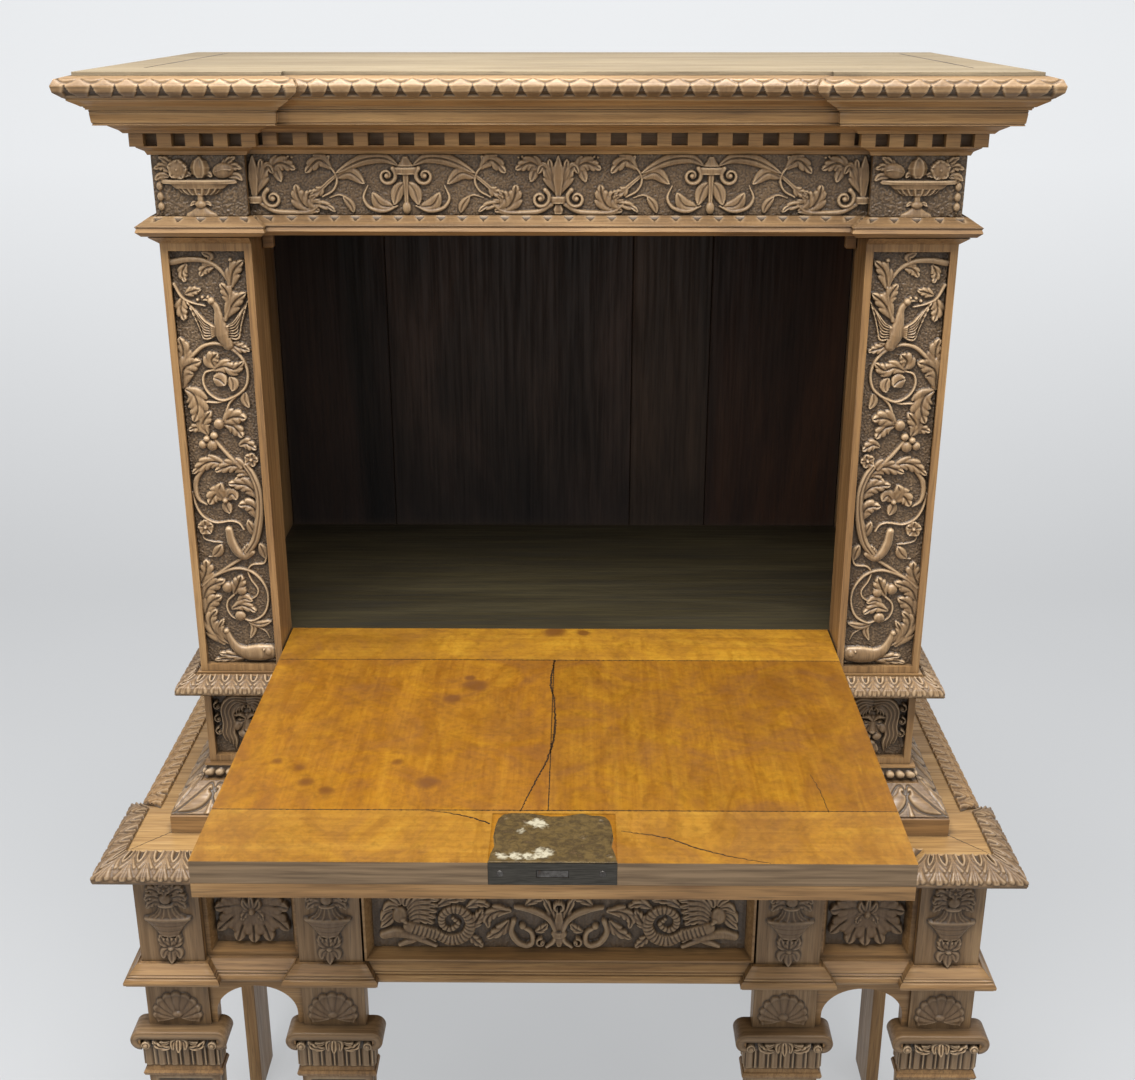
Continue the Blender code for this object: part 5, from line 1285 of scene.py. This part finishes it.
def rosette_carving(width, height):
    """Broad lobed leaves that spread from a husk."""
    r = Relief(width, height, seed=31, punched=0.4, gain=1.5, stain=0.8)
    middle = height * 0.50
    for turn in (-1, 1):
        for bend, tip in (
            ((12, 34), (22, 5)), ((24, 42), (47, 22)), ((24, 58), (49, 56)), ((22, 76), (44, 92)),
            ((10, 84), (16, 112)),
        ):
            r.leaf(sided(turn, (2, middle), bend, tip), 15, 6.4, 3, vein=1.8)
        r.leaf(sided(turn, (0, middle - 8), (8, middle + 2), (10, middle + 13)), 5.4, 9, 1)
        r.leaf(sided(turn, (0, middle - 6), (9, middle - 12), (14, middle - 22)), 6, 7.6, 3)
    r.leaf([(0, middle - 4), (0, 30), (0, 3)], 15, 7, 3, vein=1.8)
    r.leaf([(0, middle + 4), (0, middle + 24), (0, height - 4)], 13, 7, 3, vein=1.8)
    r.leaf([(0, middle - 8), (0, middle + 6), (0, middle + 20)], 4.4, 9.4, 1)
    r.dome(0, middle - 7, 5, 9, tall=1.4)
    return r


def drawer_carving(width, height):
    """Two sea creatures with coiled tails, and scrolls round a lyre. The left half is mirrored."""
    r = Relief(width, height, seed=37, punched=0.6, gain=1.6, spread=1.1, stain=0.35)
    # Head with its mane, wing and fore limb
    r.dome(-205, 52, 10, 6.4, tall=1.25)
    r.dome(-201, 47, 5, 7.2)
    r.stem([(-199, 44), (-195, 40)], (3.5, 2.5), 6.5)
    for start, bend, tip in (
        ((-206, 64), (-216, 66), (-226, 60)), ((-212, 58), (-222, 54), (-229, 44)),
        ((-212, 50), (-220, 42), (-230, 34)), ((-203, 66), (-208, 76), (-218, 80)),
        ((-198, 64), (-196, 76), (-188, 84)),
    ):
        r.leaf([start, bend, tip], 5.5, 6, 1, vein=1.6)
    for i in range(5):
        r.leaf([(-196, 40 + 5 * i), (-180, 46 + 7 * i), (-160 + 2 * i, 40 + 9 * i)], 6, 5.5, 3)
    r.stem([(-226, 22), (-210, 26), (-192, 22), (-176, 14), (-160, 5)], (6, 7.5, 6, 4.5, 3), 7.5)
    r.stem([(-206, 6), (-190, 14), (-172, 20), (-160, 12)], (3, 5, 4, 2), 6)
    # Body that coils into a tail
    coil = [
        (-192, 34), (-170, 26), (-156, 22), (-140, 14), (-122, 20), (-114, 38), (-122, 56), (-138, 60),
        (-150, 50), (-150, 36), (-140, 30), (-130, 38), (-136, 46),
    ]
    r.stem(coil, (9, 8, 8, 7, 6, 4.5, 3), 7)
    r.ridges(coil, 5.5, 6.5, 2.2)
    r.leaf([(-118, 30), (-106, 44), (-98, 62)], 8, 6, 4)
    r.leaf([(-120, 62), (-104, 70), (-88, 66)], 6, 5.5, 3)
    r.leaf([(-116, 22), (-108, 12), (-98, 4)], 6, 5, 3)
    r.leaf([(-160, 62), (-140, 74), (-118, 76)], 6, 5, 3)
    # Leaf scrolls towards the middle
    r.leaf([(-60, 58), (-80, 58), (-92, 48), (-90, 34)], 8, 6.5, 4)
    r.leaf([(-64, 44), (-76, 28), (-94, 18)], 7.5, 6, 3)
    hook = [(-58, 44), (-62, 28), (-54, 12), (-42, 6), (-34, 12), (-36, 26), (-46, 34)]
    r.stem(hook, (3.6, 4, 3.6, 2.6), 6)
    r.dome(-47, 36, 4.5, 6.5)
    r.stem([(-56, 64), (-34, 60), (-14, 48), (-5, 30), (-6, 14), (-16, 4)], (2.5, 4.6, 4.2, 3.5, 2.5), 6.5)
    r.volute(-23, 11, 7, 1.1, 90, 2.2, 6)
    r.leaf([(-32, 26), (-22, 30), (-14, 40)], 5, 5, 3)
    r.leaf([(-44, 66), (-30, 76), (-14, 82)], 6, 5.5, 3)
    r.leaf([(-4, 32), (-12, 60), (-22, 84)], 5, 5, 3)
    r.turned(0, [(20, 9), (24, 10.5), (28, 9)], 7.5)
    r.turned(0, [(4, 3), (12, 6), (20, 5)], 6, ribs=4, cut=1)
    r.turned(0, [(28, 4), (44, 7), (58, 4)], 6.5, ribs=4, cut=1.2)
    r.mirror()
    keyhole = np.hypot(r.u, r.v - 66)
    r.h = np.where(keyhole < 8, 9.5 - 1.5 * (keyhole > 6.5), r.h)
    r.h = np.where((keyhole < 4) | ((np.abs(r.u) < 1.8) & (r.v > 57) & (r.v < 66)), 0, r.h)
    return r


def sunk_place(x, field_low, field_high, ground):
    """Size in millimetres and place of a field that faces the front."""
    size = ((field_high[0] - field_low[0]) / MM, (field_high[1] - field_low[1]) / MM)
    return size, on_front(x, field_low[1], ground - SEAT)


def dress_stand_frieze():
    """Carves the rosette panels, the moulding below them and the drawer's front."""
    for side in ("left", "right"):
        board_low, board_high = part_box(f"arched_apron_{side}")
        field_low = (board_low.x + APRON_FRAME, BLOCK_FOOT + APRON_FRAME)
        field_high = (board_high.x - APRON_FRAME, board_high.z - APRON_FRAME)
        ground = LEG_FACE_Y + STAND_RECESS + APRON_SINK
        size, place = sunk_place((board_low.x + board_high.x) / 2, field_low, field_high, ground)
        carving(f"rosette_carving_{side}", rosette_carving(*size), place, "cabinet", carved_walnut)
    recess = LEG_FACE_Y + STAND_RECESS
    for name in ("arched_apron_left", "drawer_rail", "arched_apron_right"):
        board_low, board_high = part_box(name)
        start, end = ((x, recess, 0, -1) for x in (board_low.x, board_high.x))
        # The drawer rail's moulding under the flap takes the lighter copy as painted light
        finishes = painted_light_along if name == "drawer_rail" else moulded_along
        carve_collar(f"{name}_collar", start, end, finishes)
    front_low, front_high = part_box("drawer_front")
    field_low = (front_low.x + DRAWER_FRAME, front_low.z + DRAWER_FRAME)
    field_high = (front_high.x - DRAWER_FRAME, front_high.z - DRAWER_FRAME)
    size, place = sunk_place(0.0, field_low, field_high, front_low.y + DRAWER_SINK)
    carving("drawer_carving", drawer_carving(*size), place, "drawer", carved_walnut)


# Carved mouldings


def scales(width, height):
    """A round edge cut into two rows of overlapping scales, with gaps between the tips of the lower row."""
    r = Relief(width, height, seed=41, punched=0.15)
    half = width / max(1, round(width / SCALE_PITCH)) / 2
    aside = np.abs((r.u + width / 2) % (2 * half) - half)
    apex = height * 0.52
    line = apex + height * (0.02 + 0.20 * (aside / half) ** 2)
    gap = 0.56 * half * np.clip((apex - r.v) / (0.92 * apex), 0, 1) ** 1.25
    r.h += 1.9
    r.h -= 1.7 * np.exp(-((r.v - line) / 0.8) ** 2)
    r.h = np.where((r.v < apex) & (r.v > 0.06 * height) & (aside < gap), 0.0, np.maximum(r.h, 0))
    return r


def nicks(width, height):
    """A slope with a row of small notches."""
    r = Relief(width, height, seed=43, punched=0.15)
    r.h += 2.2
    count = max(1, round(width / NICK_PITCH))
    for i in range(count):
        r.notch((i + 0.5) * width / count - width / 2, height * 0.86, 5.2, -7.5)
    return r


def lined(*lines):
    """A plain moulding with fine grooves along it, at shares of its girth."""
    def make(width, height):
        r = Relief(width, height, seed=71, pitch=0.7, punched=0, along=14.0)
        r.h += 1.3
        for line in lines:
            r.h -= 1.2 * np.exp(-((r.v - line * height) / 0.75) ** 2)
        return r
    return make


def acanthus(pitch, lean):
    """Leaves side by side on a sloping edge, with five round lobes each and looped eyes between them."""
    def make(width, height):
        r = Relief(width, height, seed=61, punched=0.4, pitch=0.8, stain=0.35)
        r.h += 2.0
        count = max(1, round(width / pitch))
        step = width / count

        def at(u, *points):
            return [(u + share * step + lean * (1 - up), up * height) for share, up in points]

        for i in range(-1, count + 1):
            middle = (i + 0.5) * step - width / 2
            gap = middle + step / 2
            r.stem(at(gap, (-0.24, 1), (-0.18, 0.78), (0, 0.62), (0.18, 0.78), (0.24, 1)), (2.0,), 4.4)
            for turn in (-1, 1):
                upper = at(middle, (turn * 0.06, 0.74), (turn * 0.20, 0.58), (turn * 0.36, 0.44))
                r.stem(upper, (step * 0.06, step * 0.11, step * 0.12), 4.6)
                lower = at(middle, (turn * 0.05, 0.60), (turn * 0.16, 0.34), (turn * 0.30, 0.16))
                r.stem(lower, (step * 0.06, step * 0.12, step * 0.14), 5.0)
            rib = at(middle, (0, 0.98), (0, 0.56), (0, 0.14))
            r.stem(rib, (step * 0.07, step * 0.12, step * 0.17), 5.6, 1.2)
            r.cut(at(gap, (0, 1), (0, 0.76)), step * 0.08, 4.5)
        r.h = np.where(r.v < height * EDGE_FILLET, 3.4, r.h)
        return r
    return make


def water_leaves(width, height):
    """Pairs of curved leaves that bend up from their tips to a hooked head on both sides of a rib."""
    r = Relief(width, height, seed=53, punched=0.2)
    count = max(1, round(width / WATER_LEAF_PITCH))
    pitch = width / count
    r.h += 1.2

    def at(middle, turn, *points):
        return [(middle + turn * share * pitch / 2, up * height) for share, up in points]

    leaf = ((0.84, 0.10), (0.52, 0.28), (0.26, 0.56), (0.20, 0.74))
    outer_edge = ((0.94, 0.05), (0.80, 0.34), (0.58, 0.68), (0.36, 0.90), (0.16, 0.90), (0.05, 0.76))
    inner_edge = ((0.94, 0.05), (0.55, 0.06), (0.24, 0.20), (0.05, 0.46), (0.04, 0.62))
    hook = ((0.05, 0.76), (0.10, 0.66), (0.16, 0.72))
    for i in range(count):
        middle = (i + 0.5) * pitch - width / 2
        for turn in (-1, 1):
            r.stem(at(middle, turn, *leaf), (1.5, 7.5, 8.5, 5), 4.4)
            r.cut(at(middle, turn, *outer_edge), 1.1, 3.4)
            r.cut(at(middle, turn, *inner_edge), 1.1, 3.4)
            r.cut(at(middle, turn, *hook), 1.6, 4.0)
        r.stem([(middle, height * 0.40), (middle, height * 0.03)], (0.6, 2.4), 3.4)
    return r


def bead_row(width, height):
    """A row of round beads."""
    r = Relief(width, height, seed=59, punched=0.2)
    count = max(1, round(width / BEAD_PITCH))
    for i in range(count):
        r.dome((i + 0.5) * width / count - width / 2, height / 2, 5.4, 6.6, base=0.1)
    return r


def head_corners():
    """Corners of the front and side runs of the head, broken forward over the pilasters."""
    outer, inner = low("frieze_block_left").x, high("frieze_block_left").x
    back, middle = high("side_panel_left").y, low("frieze_rail").y
    return [
        ((outer, back, -1, 0), (outer, FACE_Y, -1, -1), "side_left"),
        ((outer, FACE_Y, -1, -1), (inner, FACE_Y, 1, -1), "left"),
        ((inner, FACE_Y, 1, -1), (inner, middle, 1, -1), "return_left"),
        ((inner, middle, 1, -1), (-inner, middle, -1, -1), "middle"),
        ((-inner, middle, -1, -1), (-inner, FACE_Y, -1, -1), "return_right"),
        ((-inner, FACE_Y, -1, -1), (-outer, FACE_Y, 1, -1), "right"),
        ((-outer, FACE_Y, 1, -1), (-outer, back, 1, 0), "side_right"),
    ]


def dress_head_mouldings():
    """Scales on the top's edge, lines along the cornice and nicks on the architrave."""
    edge = profile_of("top_frame", TOP_EDGE, TOP_REACH)
    corona, cyma = (profile_of("cornice_moulding", shape, CORNICE_REACH) for shape in (CORONA, CYMA))
    slope = profile_of("architrave_moulding", ARCHITRAVE_SLOPE, ARCHITRAVE_REACH)
    for start, end, name in head_corners():
        carve_run(f"edge_scales_{name}", scales, start, end, edge)
        carve_run(f"architrave_nicks_{name}", nicks, start, end, slope, depth=1.5)
        # Corona and cyma take the lighter copy as painted light
        carve_run(f"corona_{name}", lined(0.10, 0.88), start, end, corona, painted_light_along, depth=1.5)
        carve_run(f"cyma_{name}", lined(0.08, 0.86), start, end, cyma, painted_light_along, depth=1.5)


def dress_bases():
    """Leaves on the caps, water leaves and beads on the feet, on the front and along the sides."""
    back = high("side_panel_left").y
    for side, turn in ENDS:
        block_low, block_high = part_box(f"frieze_block_{side}")
        outer, inner = (block_low.x, block_high.x) if turn < 0 else (block_high.x, block_low.x)
        corner = (outer, FACE_Y, turn, -1)
        runs = [((inner, FACE_Y, 0, -1), corner, "front"), (corner, (outer, back, turn, 0), "side")]
        cap = profile_of(f"pedestal_cap_{side}", CAP_SLOPE, CAP_REACH)
        slope = profile_of(f"pedestal_foot_{side}", FOOT_SLOPE, FOOT_REACH)
        step = profile_of(f"pedestal_foot_{side}", FOOT_STEP, FOOT_REACH)
        for start, end, name in runs:
            carve_run(f"cap_leaves_{side}_{name}", acanthus(CAP_LEAF_PITCH, 0), start, end, cap)
            carve_run(f"foot_leaves_{side}_{name}", water_leaves, start, end, slope)
            carve_run(f"foot_beads_{side}_{name}", bead_row, start, end, step)


def dress_stand_edge():
    """Leaning leaves along the stand's edge, which breaks forward over the legs."""
    recess, leg = LEG_FACE_Y + STAND_RECESS, LEG_FACE_Y
    leg_back = LEG_FACE_Y + LEG_DEPTH
    back = high("stand_top").y
    outer, inner_edge = OUTER_LEG_X + LEG_WIDTH / 2, OUTER_LEG_X - LEG_WIDTH / 2
    far, near = INNER_LEG_X + LEG_WIDTH / 2, INNER_LEG_X - LEG_WIDTH / 2
    side = outer - SIDE_RECESS
    runs = [
        ((-side, back, -1, 0), (-side, leg_back, -1, 1)),
        ((-outer, leg_back, -1, 1), (-outer, leg, -1, -1)),
        ((-outer, leg, -1, -1), (-inner_edge, leg, 1, -1)),
        ((-inner_edge, recess, 1, -1), (-far, recess, -1, -1)),
        ((-far, leg, -1, -1), (-near, leg, 1, -1)),
        ((-near, recess, 1, -1), (0, recess, 0, -1)),
    ]
    profile = profile_of("stand_top", STAND_EDGE, STAND_TOP_REACH)
    for number, (start, end) in enumerate(runs, 1):
        # The long side run takes the lighter copy as painted light
        finishes = painted_light_along if number == 1 else carved_along
        carve_run(f"edge_leaves_left_{number}", acanthus(EDGE_LEAF_PITCH, -4), start, end, profile, finishes)
        mirrored = [(-x, y, -mx, my) for x, y, mx, my in (end, start)]
        carve_run(f"edge_leaves_right_{number}", acanthus(EDGE_LEAF_PITCH, 4), *mirrored, profile, finishes)


# Flap, locks and boards


def on_board(node):
    """Lays millimetres on the upper face of a board."""
    top = high(node).z

    def place(u, v, h):
        return u * MM, v * MM, top + h * MM
    return place


def dress_flap():
    """Joints between the boards, and the cracks that age has opened."""
    half = (high("flap_rear_rail").x - 0.001) / MM
    rear, front = low("flap_rear_rail").y / MM, high("flap_front_rail").y / MM
    joint = high("flap_board_left").x / MM
    lock_rear = high("lock_case").y / MM
    rear_joint = [(-half, rear), (-half / 3, rear + 0.3), (half / 3, rear - 0.2), (half, rear)]
    front_joint = [(-half, front), (-half / 2, front - 0.3), (half / 2, front), (half, front)]
    long_crack = [
        (joint + 1, rear), (joint - 3, rear - 60), (joint + 2, rear - 110), (joint + 4, rear - 180),
        (joint - 2, rear - 240), (joint - 14, rear - 292), (joint - 28, lock_rear + 4),
    ]
    crack_to_edge = [
        (66, front - 38), (108, front - 49), (141, front - 69), (173, front - 83), (206, front - 93),
    ]
    lines = {
        "rear_joint": (rear_joint, (0.5, 0.8, 0.5)),
        "front_joint": (front_joint, (0.5, 0.8, 0.5)),
        "middle_joint": ([(joint, rear), (joint + 0.2, front + 90), (joint, front)], (0.7, 0.5, 0.5)),
        "long_crack": (long_crack, (0.8, 1.2, 0.7, 1.3, 0.9, 0.8, 0.5)),
        "crack_by_lock": ([(-125, front - 1), (-89, front - 11), (-63, front - 25)], (0.3, 0.8, 1.0)),
        "crack_to_edge": (crack_to_edge, (0.4, 0.8, 0.9, 0.6, 0.3)),
        "right_crack": ([(268, front + 74), (273, front + 34), (275, front - 2)], (0.2, 0.4, 0.3)),
    }
    place = on_board("flap_rear_rail")
    for name, (points, widths) in lines.items():
        stray = 0.7 if "crack" in name else 0.1
        ribbon(f"flap_{name}", points, widths, place, "flap", joint_dirt, "honey_walnut", ragged=stray)


def dress_boards():
    """Open joints beside the panel of the top, and mitres at the corners of the stand's board."""
    panel_low, panel_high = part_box("top_panel")
    front, rear = panel_low.y / MM, panel_high.y / MM
    corner_x, corner_y = OUTER_LEG_X + LEG_WIDTH / 2 - 0.002, LEG_FACE_Y + 0.002
    on_top, on_stand = on_board("top_frame"), on_board("stand_top")
    look = ("cabinet", joint_dirt, "carved_walnut")
    for side, turn in ENDS:
        edge = turn * panel_high.x / MM
        bends = [(edge + 0.5, front * 0.6 + rear * 0.4), (edge - 0.4, rear * 0.8)]
        joint = [(edge, front), *bends, (edge, rear)]
        ribbon(f"top_joint_{side}", joint, (0.4, 1.4, 1.0, 1.5), on_top, *look, ragged=0.5)
        mitre = [(turn * (corner_x - step) / MM, (corner_y + step) / MM) for step in (0.0, 0.03, 0.06)]
        ribbon(f"stand_mitre_{side}", mitre, (0.3, 0.5, 0.3), on_stand, *look, ragged=0.3)


def flap_panel(width, height):
    """A wreathed rosette between leaf scrolls. One quarter is written out and mirrored twice."""
    r = Relief(width, height, seed=73, pitch=2.2, punched=0.8)
    middle = height / 2
    ring = [(88 * math.cos(a), middle + 88 * math.sin(a)) for a in np.linspace(math.pi / 2, math.pi, 9)]
    r.stem(ring, (7.0,), 3.6)
    for u, v in ring[:-1]:
        bend = (u * 1.12, middle + (v - middle) * 1.12)
        tip = (u * 1.24 - 10, middle + (v - middle) * 1.10)
        r.leaf([(u, v), bend, tip], 10, 4.2, 3)
    for radius, width_share, tall in ((74, 0.30, 3.6), (46, 0.36, 4.6)):
        r.flower(0, middle, radius, 8, tall, turn=22.5 if radius > 50 else 0, width=width_share, eye=0.2)
    branch = [(-104, middle), (-150, middle + 30), (-205, middle + 40), (-238, middle + 96)]
    r.stem(branch, (7, 6, 5, 3.5), 4.2)
    r.volute(-214, middle + 120, 34, 1.3, -60, 5.5, 4.4)
    r.volute(-160, middle + 78, 26, -1.3, -120, 5, 4.4)
    r.leaf([(-128, middle + 14), (-170, middle + 6), (-212, middle + 14)], 13, 4.4, 4)
    r.leaf([(-120, middle + 60), (-112, middle + 110), (-140, middle + 150)], 15, 4.4, 4)
    r.leaf([(-104, middle + 110), (-60, middle + 140), (-12, middle + 142)], 15, 4.4, 4)
    r.leaf([(-250, middle + 84), (-258, middle + 50), (-250, middle + 14)], 10, 4.2, 3)
    r.leaf([(-176, middle + 120), (-184, middle + 156), (-240, middle + 176)], 12, 4.2, 3)
    r.mirror()
    r.h = np.minimum(np.maximum(r.h, r.h[::-1]), 4.6)
    return r


def dress_flap_facing():
    """Carves the panel of the flap's outer face, which looks down while the flap is open."""
    facing_low, facing_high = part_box("flap_facing")
    ground = facing_low.z + FACING_SINK - SEAT
    size = [(facing_high[i] - facing_low[i] - 2 * FACING_MARGIN) / MM for i in (0, 1)]

    def place(u, v, h):
        return u * MM, facing_high.y - FACING_MARGIN - v * MM, ground - h * MM

    carving("flap_panel", flap_panel(*size), place, "flap", carved_along[0])


def lock_plate():
    """A worn brass plate with wavy sides, four screws and remains of paint."""
    case_low, case_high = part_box("lock_case")
    half, length = (case_high.x - case_low.x) / 2 / MM, (case_high.y - case_low.y) / MM

    def place(u, v, h):
        across, along = u / half, v / length
        x = across * half * np.interp(along, LOCK_SIDE_V, LOCK_SIDE_U)
        y = along * length * np.interp(across, LOCK_REAR_U, LOCK_REAR_V)
        return x * MM, case_low.y + y * MM, case_high.z + h * MM

    def on_case(u, v, h):
        return u * MM, case_low.y + (v + 1.5) * MM, case_high.z + h * MM

    r = Relief(2 * half, length, seed=67, pitch=1.0, punched=0)
    r.h += 0.9
    edge = np.minimum(half - np.abs(r.u), length - r.v)
    r.h -= 0.6 * np.clip(1 - edge / 1.5, 0, 1)
    for u, v in LOCK_SCREWS:
        r.dome(u * half, v * length, 3.4, 2.0, base=0.5)
        r.cut([(u * half - 3, v * length - 1), (u * half + 3, v * length + 1)], 0.7, 1.0)
    hole = np.hypot(r.u - LOCK_HOLE[0] * half, r.v - LOCK_HOLE[1] * length)
    r.h = np.where(hole < 4.4, 1.5, r.h)
    r.h = np.where(hole < 3.2, 0.4, r.h)
    worn = np.zeros_like(r.h)
    for u, v, wide, tall in LOCK_PAINT:
        worn = np.maximum(worn, np.exp(-((r.u - u * half) / wide) ** 2 - ((r.v - v * length) / tall) ** 2))
    r.stain = worn
    bed = Relief(2 * half + 0.8, length - 1.5, pitch=4.0, punched=0)
    bed.h += 0.18
    carving("lock_bed", bed, on_case, "flap", honey_along[0], "honey_walnut", depth=0.1)
    carving("lock_plate", r, place, "flap", plate_brass, "brass", depth=0.5)
    for side, u in LOCK_FRONT_SCREWS:
        spot = (u * half * MM, case_low.y, (case_low.z + case_high.z) / 2)
        lathe(f"lock_screw_{side}", SCREW, spot, 1, "flap", iron, "iron", 20)


def on_back(middle_x, foot_z, face_y):
    """Lays millimetres on a wall that faces the back."""
    def place(u, v, h):
        return middle_x + u * MM, face_y + h * MM, foot_z + v * MM
    return place


def plank_tongues():
    """Tongues in the joints of the back, which keep the light out."""
    look = ("cabinet", joint_dirt, "dark_interior")
    for number in (1, 2, 3):
        plank_low, plank_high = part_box(f"back_plank_{number}")
        height = (plank_high.z - plank_low.z) / MM
        middle = (plank_high.x + low(f"back_plank_{number + 1}").x) / 2
        points = [(0, 2), (0.4, height / 2), (0, height - 2)]
        place = on_back(middle, plank_low.z, plank_high.y)
        ribbon(f"plank_tongue_{number}", points, (9, 9), place, *look, top=3.0, depth=-0.3)


# Stage


def floor_and_backdrop():
    """A pale floor that sweeps up into a backdrop."""
    turns = np.linspace(0, math.pi / 2, 17)
    sweep = [
        (SWEEP_START + SWEEP_RADIUS * math.sin(turn), SWEEP_RADIUS - SWEEP_RADIUS * math.cos(turn))
        for turn in turns
    ]
    outline = [(FLOOR_FRONT, 0.0), *sweep, (SWEEP_START + SWEEP_RADIUS, WALL_TOP)]
    points = [(x, y, z) for y, z in outline for x in (-FLOOR_HALF, FLOOR_HALF)]
    faces = [(i, i + 1, i + 3, i + 2) for i in range(0, len(points) - 2, 2)]
    mesh = bpy.data.meshes.new("studio_floor")
    mesh.from_pydata(points, [], faces)
    mesh.shade_smooth()
    floor = bpy.data.objects.new("studio_floor", mesh)
    bpy.context.scene.collection.objects.link(floor)
    paint = Shader("studio_paint", 0.9)
    tint = paint.ramp(paint.noise((0.6, 0.6, 0.6), 2), (0.3, FLOOR_TONES[0]), (0.7, FLOOR_TONES[1]))
    rays = paint.add("LightPath").outputs
    direct = paint.math("MAXIMUM", rays["Is Camera Ray"], rays["Is Glossy Ray"])
    seen = paint.math("MAXIMUM", direct, rays["Is Transmission Ray"])
    paint.surface.inputs["Emission Color"].default_value = (*BACKDROP_TINT, 1)
    height = paint.add("SeparateXYZ", Vector=paint.add("TexCoord").outputs["Object"]).outputs["Z"]
    glow = paint.ramp(paint.math("MULTIPLY", height, 0.25), (0.0, BACKDROP_GLOW[0]), (0.30, BACKDROP_GLOW[1]))
    paint.give(paint.surface.inputs["Emission Strength"], paint.math("MULTIPLY", seen, glow))
    mesh.materials.append(paint.finish(tint))


def area_light(name, place, aim, size, power, colour):
    """A rectangular lamp at a place, turned towards a point."""
    lamp = bpy.data.lights.new(name, "AREA")
    lamp.shape = "RECTANGLE"
    lamp.size, lamp.size_y = size
    lamp.energy = power
    lamp.color = colour
    holder = bpy.data.objects.new(name, lamp)
    holder.location = place
    direction = np.array(place) - np.array(aim)
    holder.rotation_euler = (
        math.atan2(math.hypot(direction[0], direction[1]), direction[2]), 0,
        math.atan2(direction[0], -direction[1]),
    )
    bpy.context.scene.collection.objects.link(holder)


def light_and_camera():
    """The lamps, an even light from all around and the camera."""
    scene = bpy.context.scene
    scene.view_settings.view_transform = "Standard"
    world = bpy.data.worlds.new("studio")
    scene.world = world
    world.use_nodes = True
    background = world.node_tree.nodes["Background"]
    background.inputs["Color"].default_value = (*WORLD_TINT, 1)
    background.inputs["Strength"].default_value = WORLD_STRENGTH
    for lamp in LAMPS:
        area_light(*lamp)
    camera = bpy.data.cameras.new("camera")
    camera.sensor_fit = "HORIZONTAL"
    camera.sensor_width = SENSOR_WIDTH
    camera.lens = FOCAL_PIXELS / IMAGE_WIDTH * camera.sensor_width
    holder = bpy.data.objects.new("camera", camera)
    holder.location = CAMERA_PLACE
    holder.rotation_euler = (math.pi / 2 - CAMERA_DIP, 0, CAMERA_TURN)
    scene.collection.objects.link(holder)
    scene.camera = holder


finish_nodes()
dress_pilasters()
dress_frieze()
dress_pedestals()
dress_legs()
dress_stand_frieze()
dress_head_mouldings()
dress_bases()
dress_stand_edge()
dress_boards()
dress_flap()
dress_flap_facing()
lock_plate()
plank_tongues()
floor_and_backdrop()
light_and_camera()
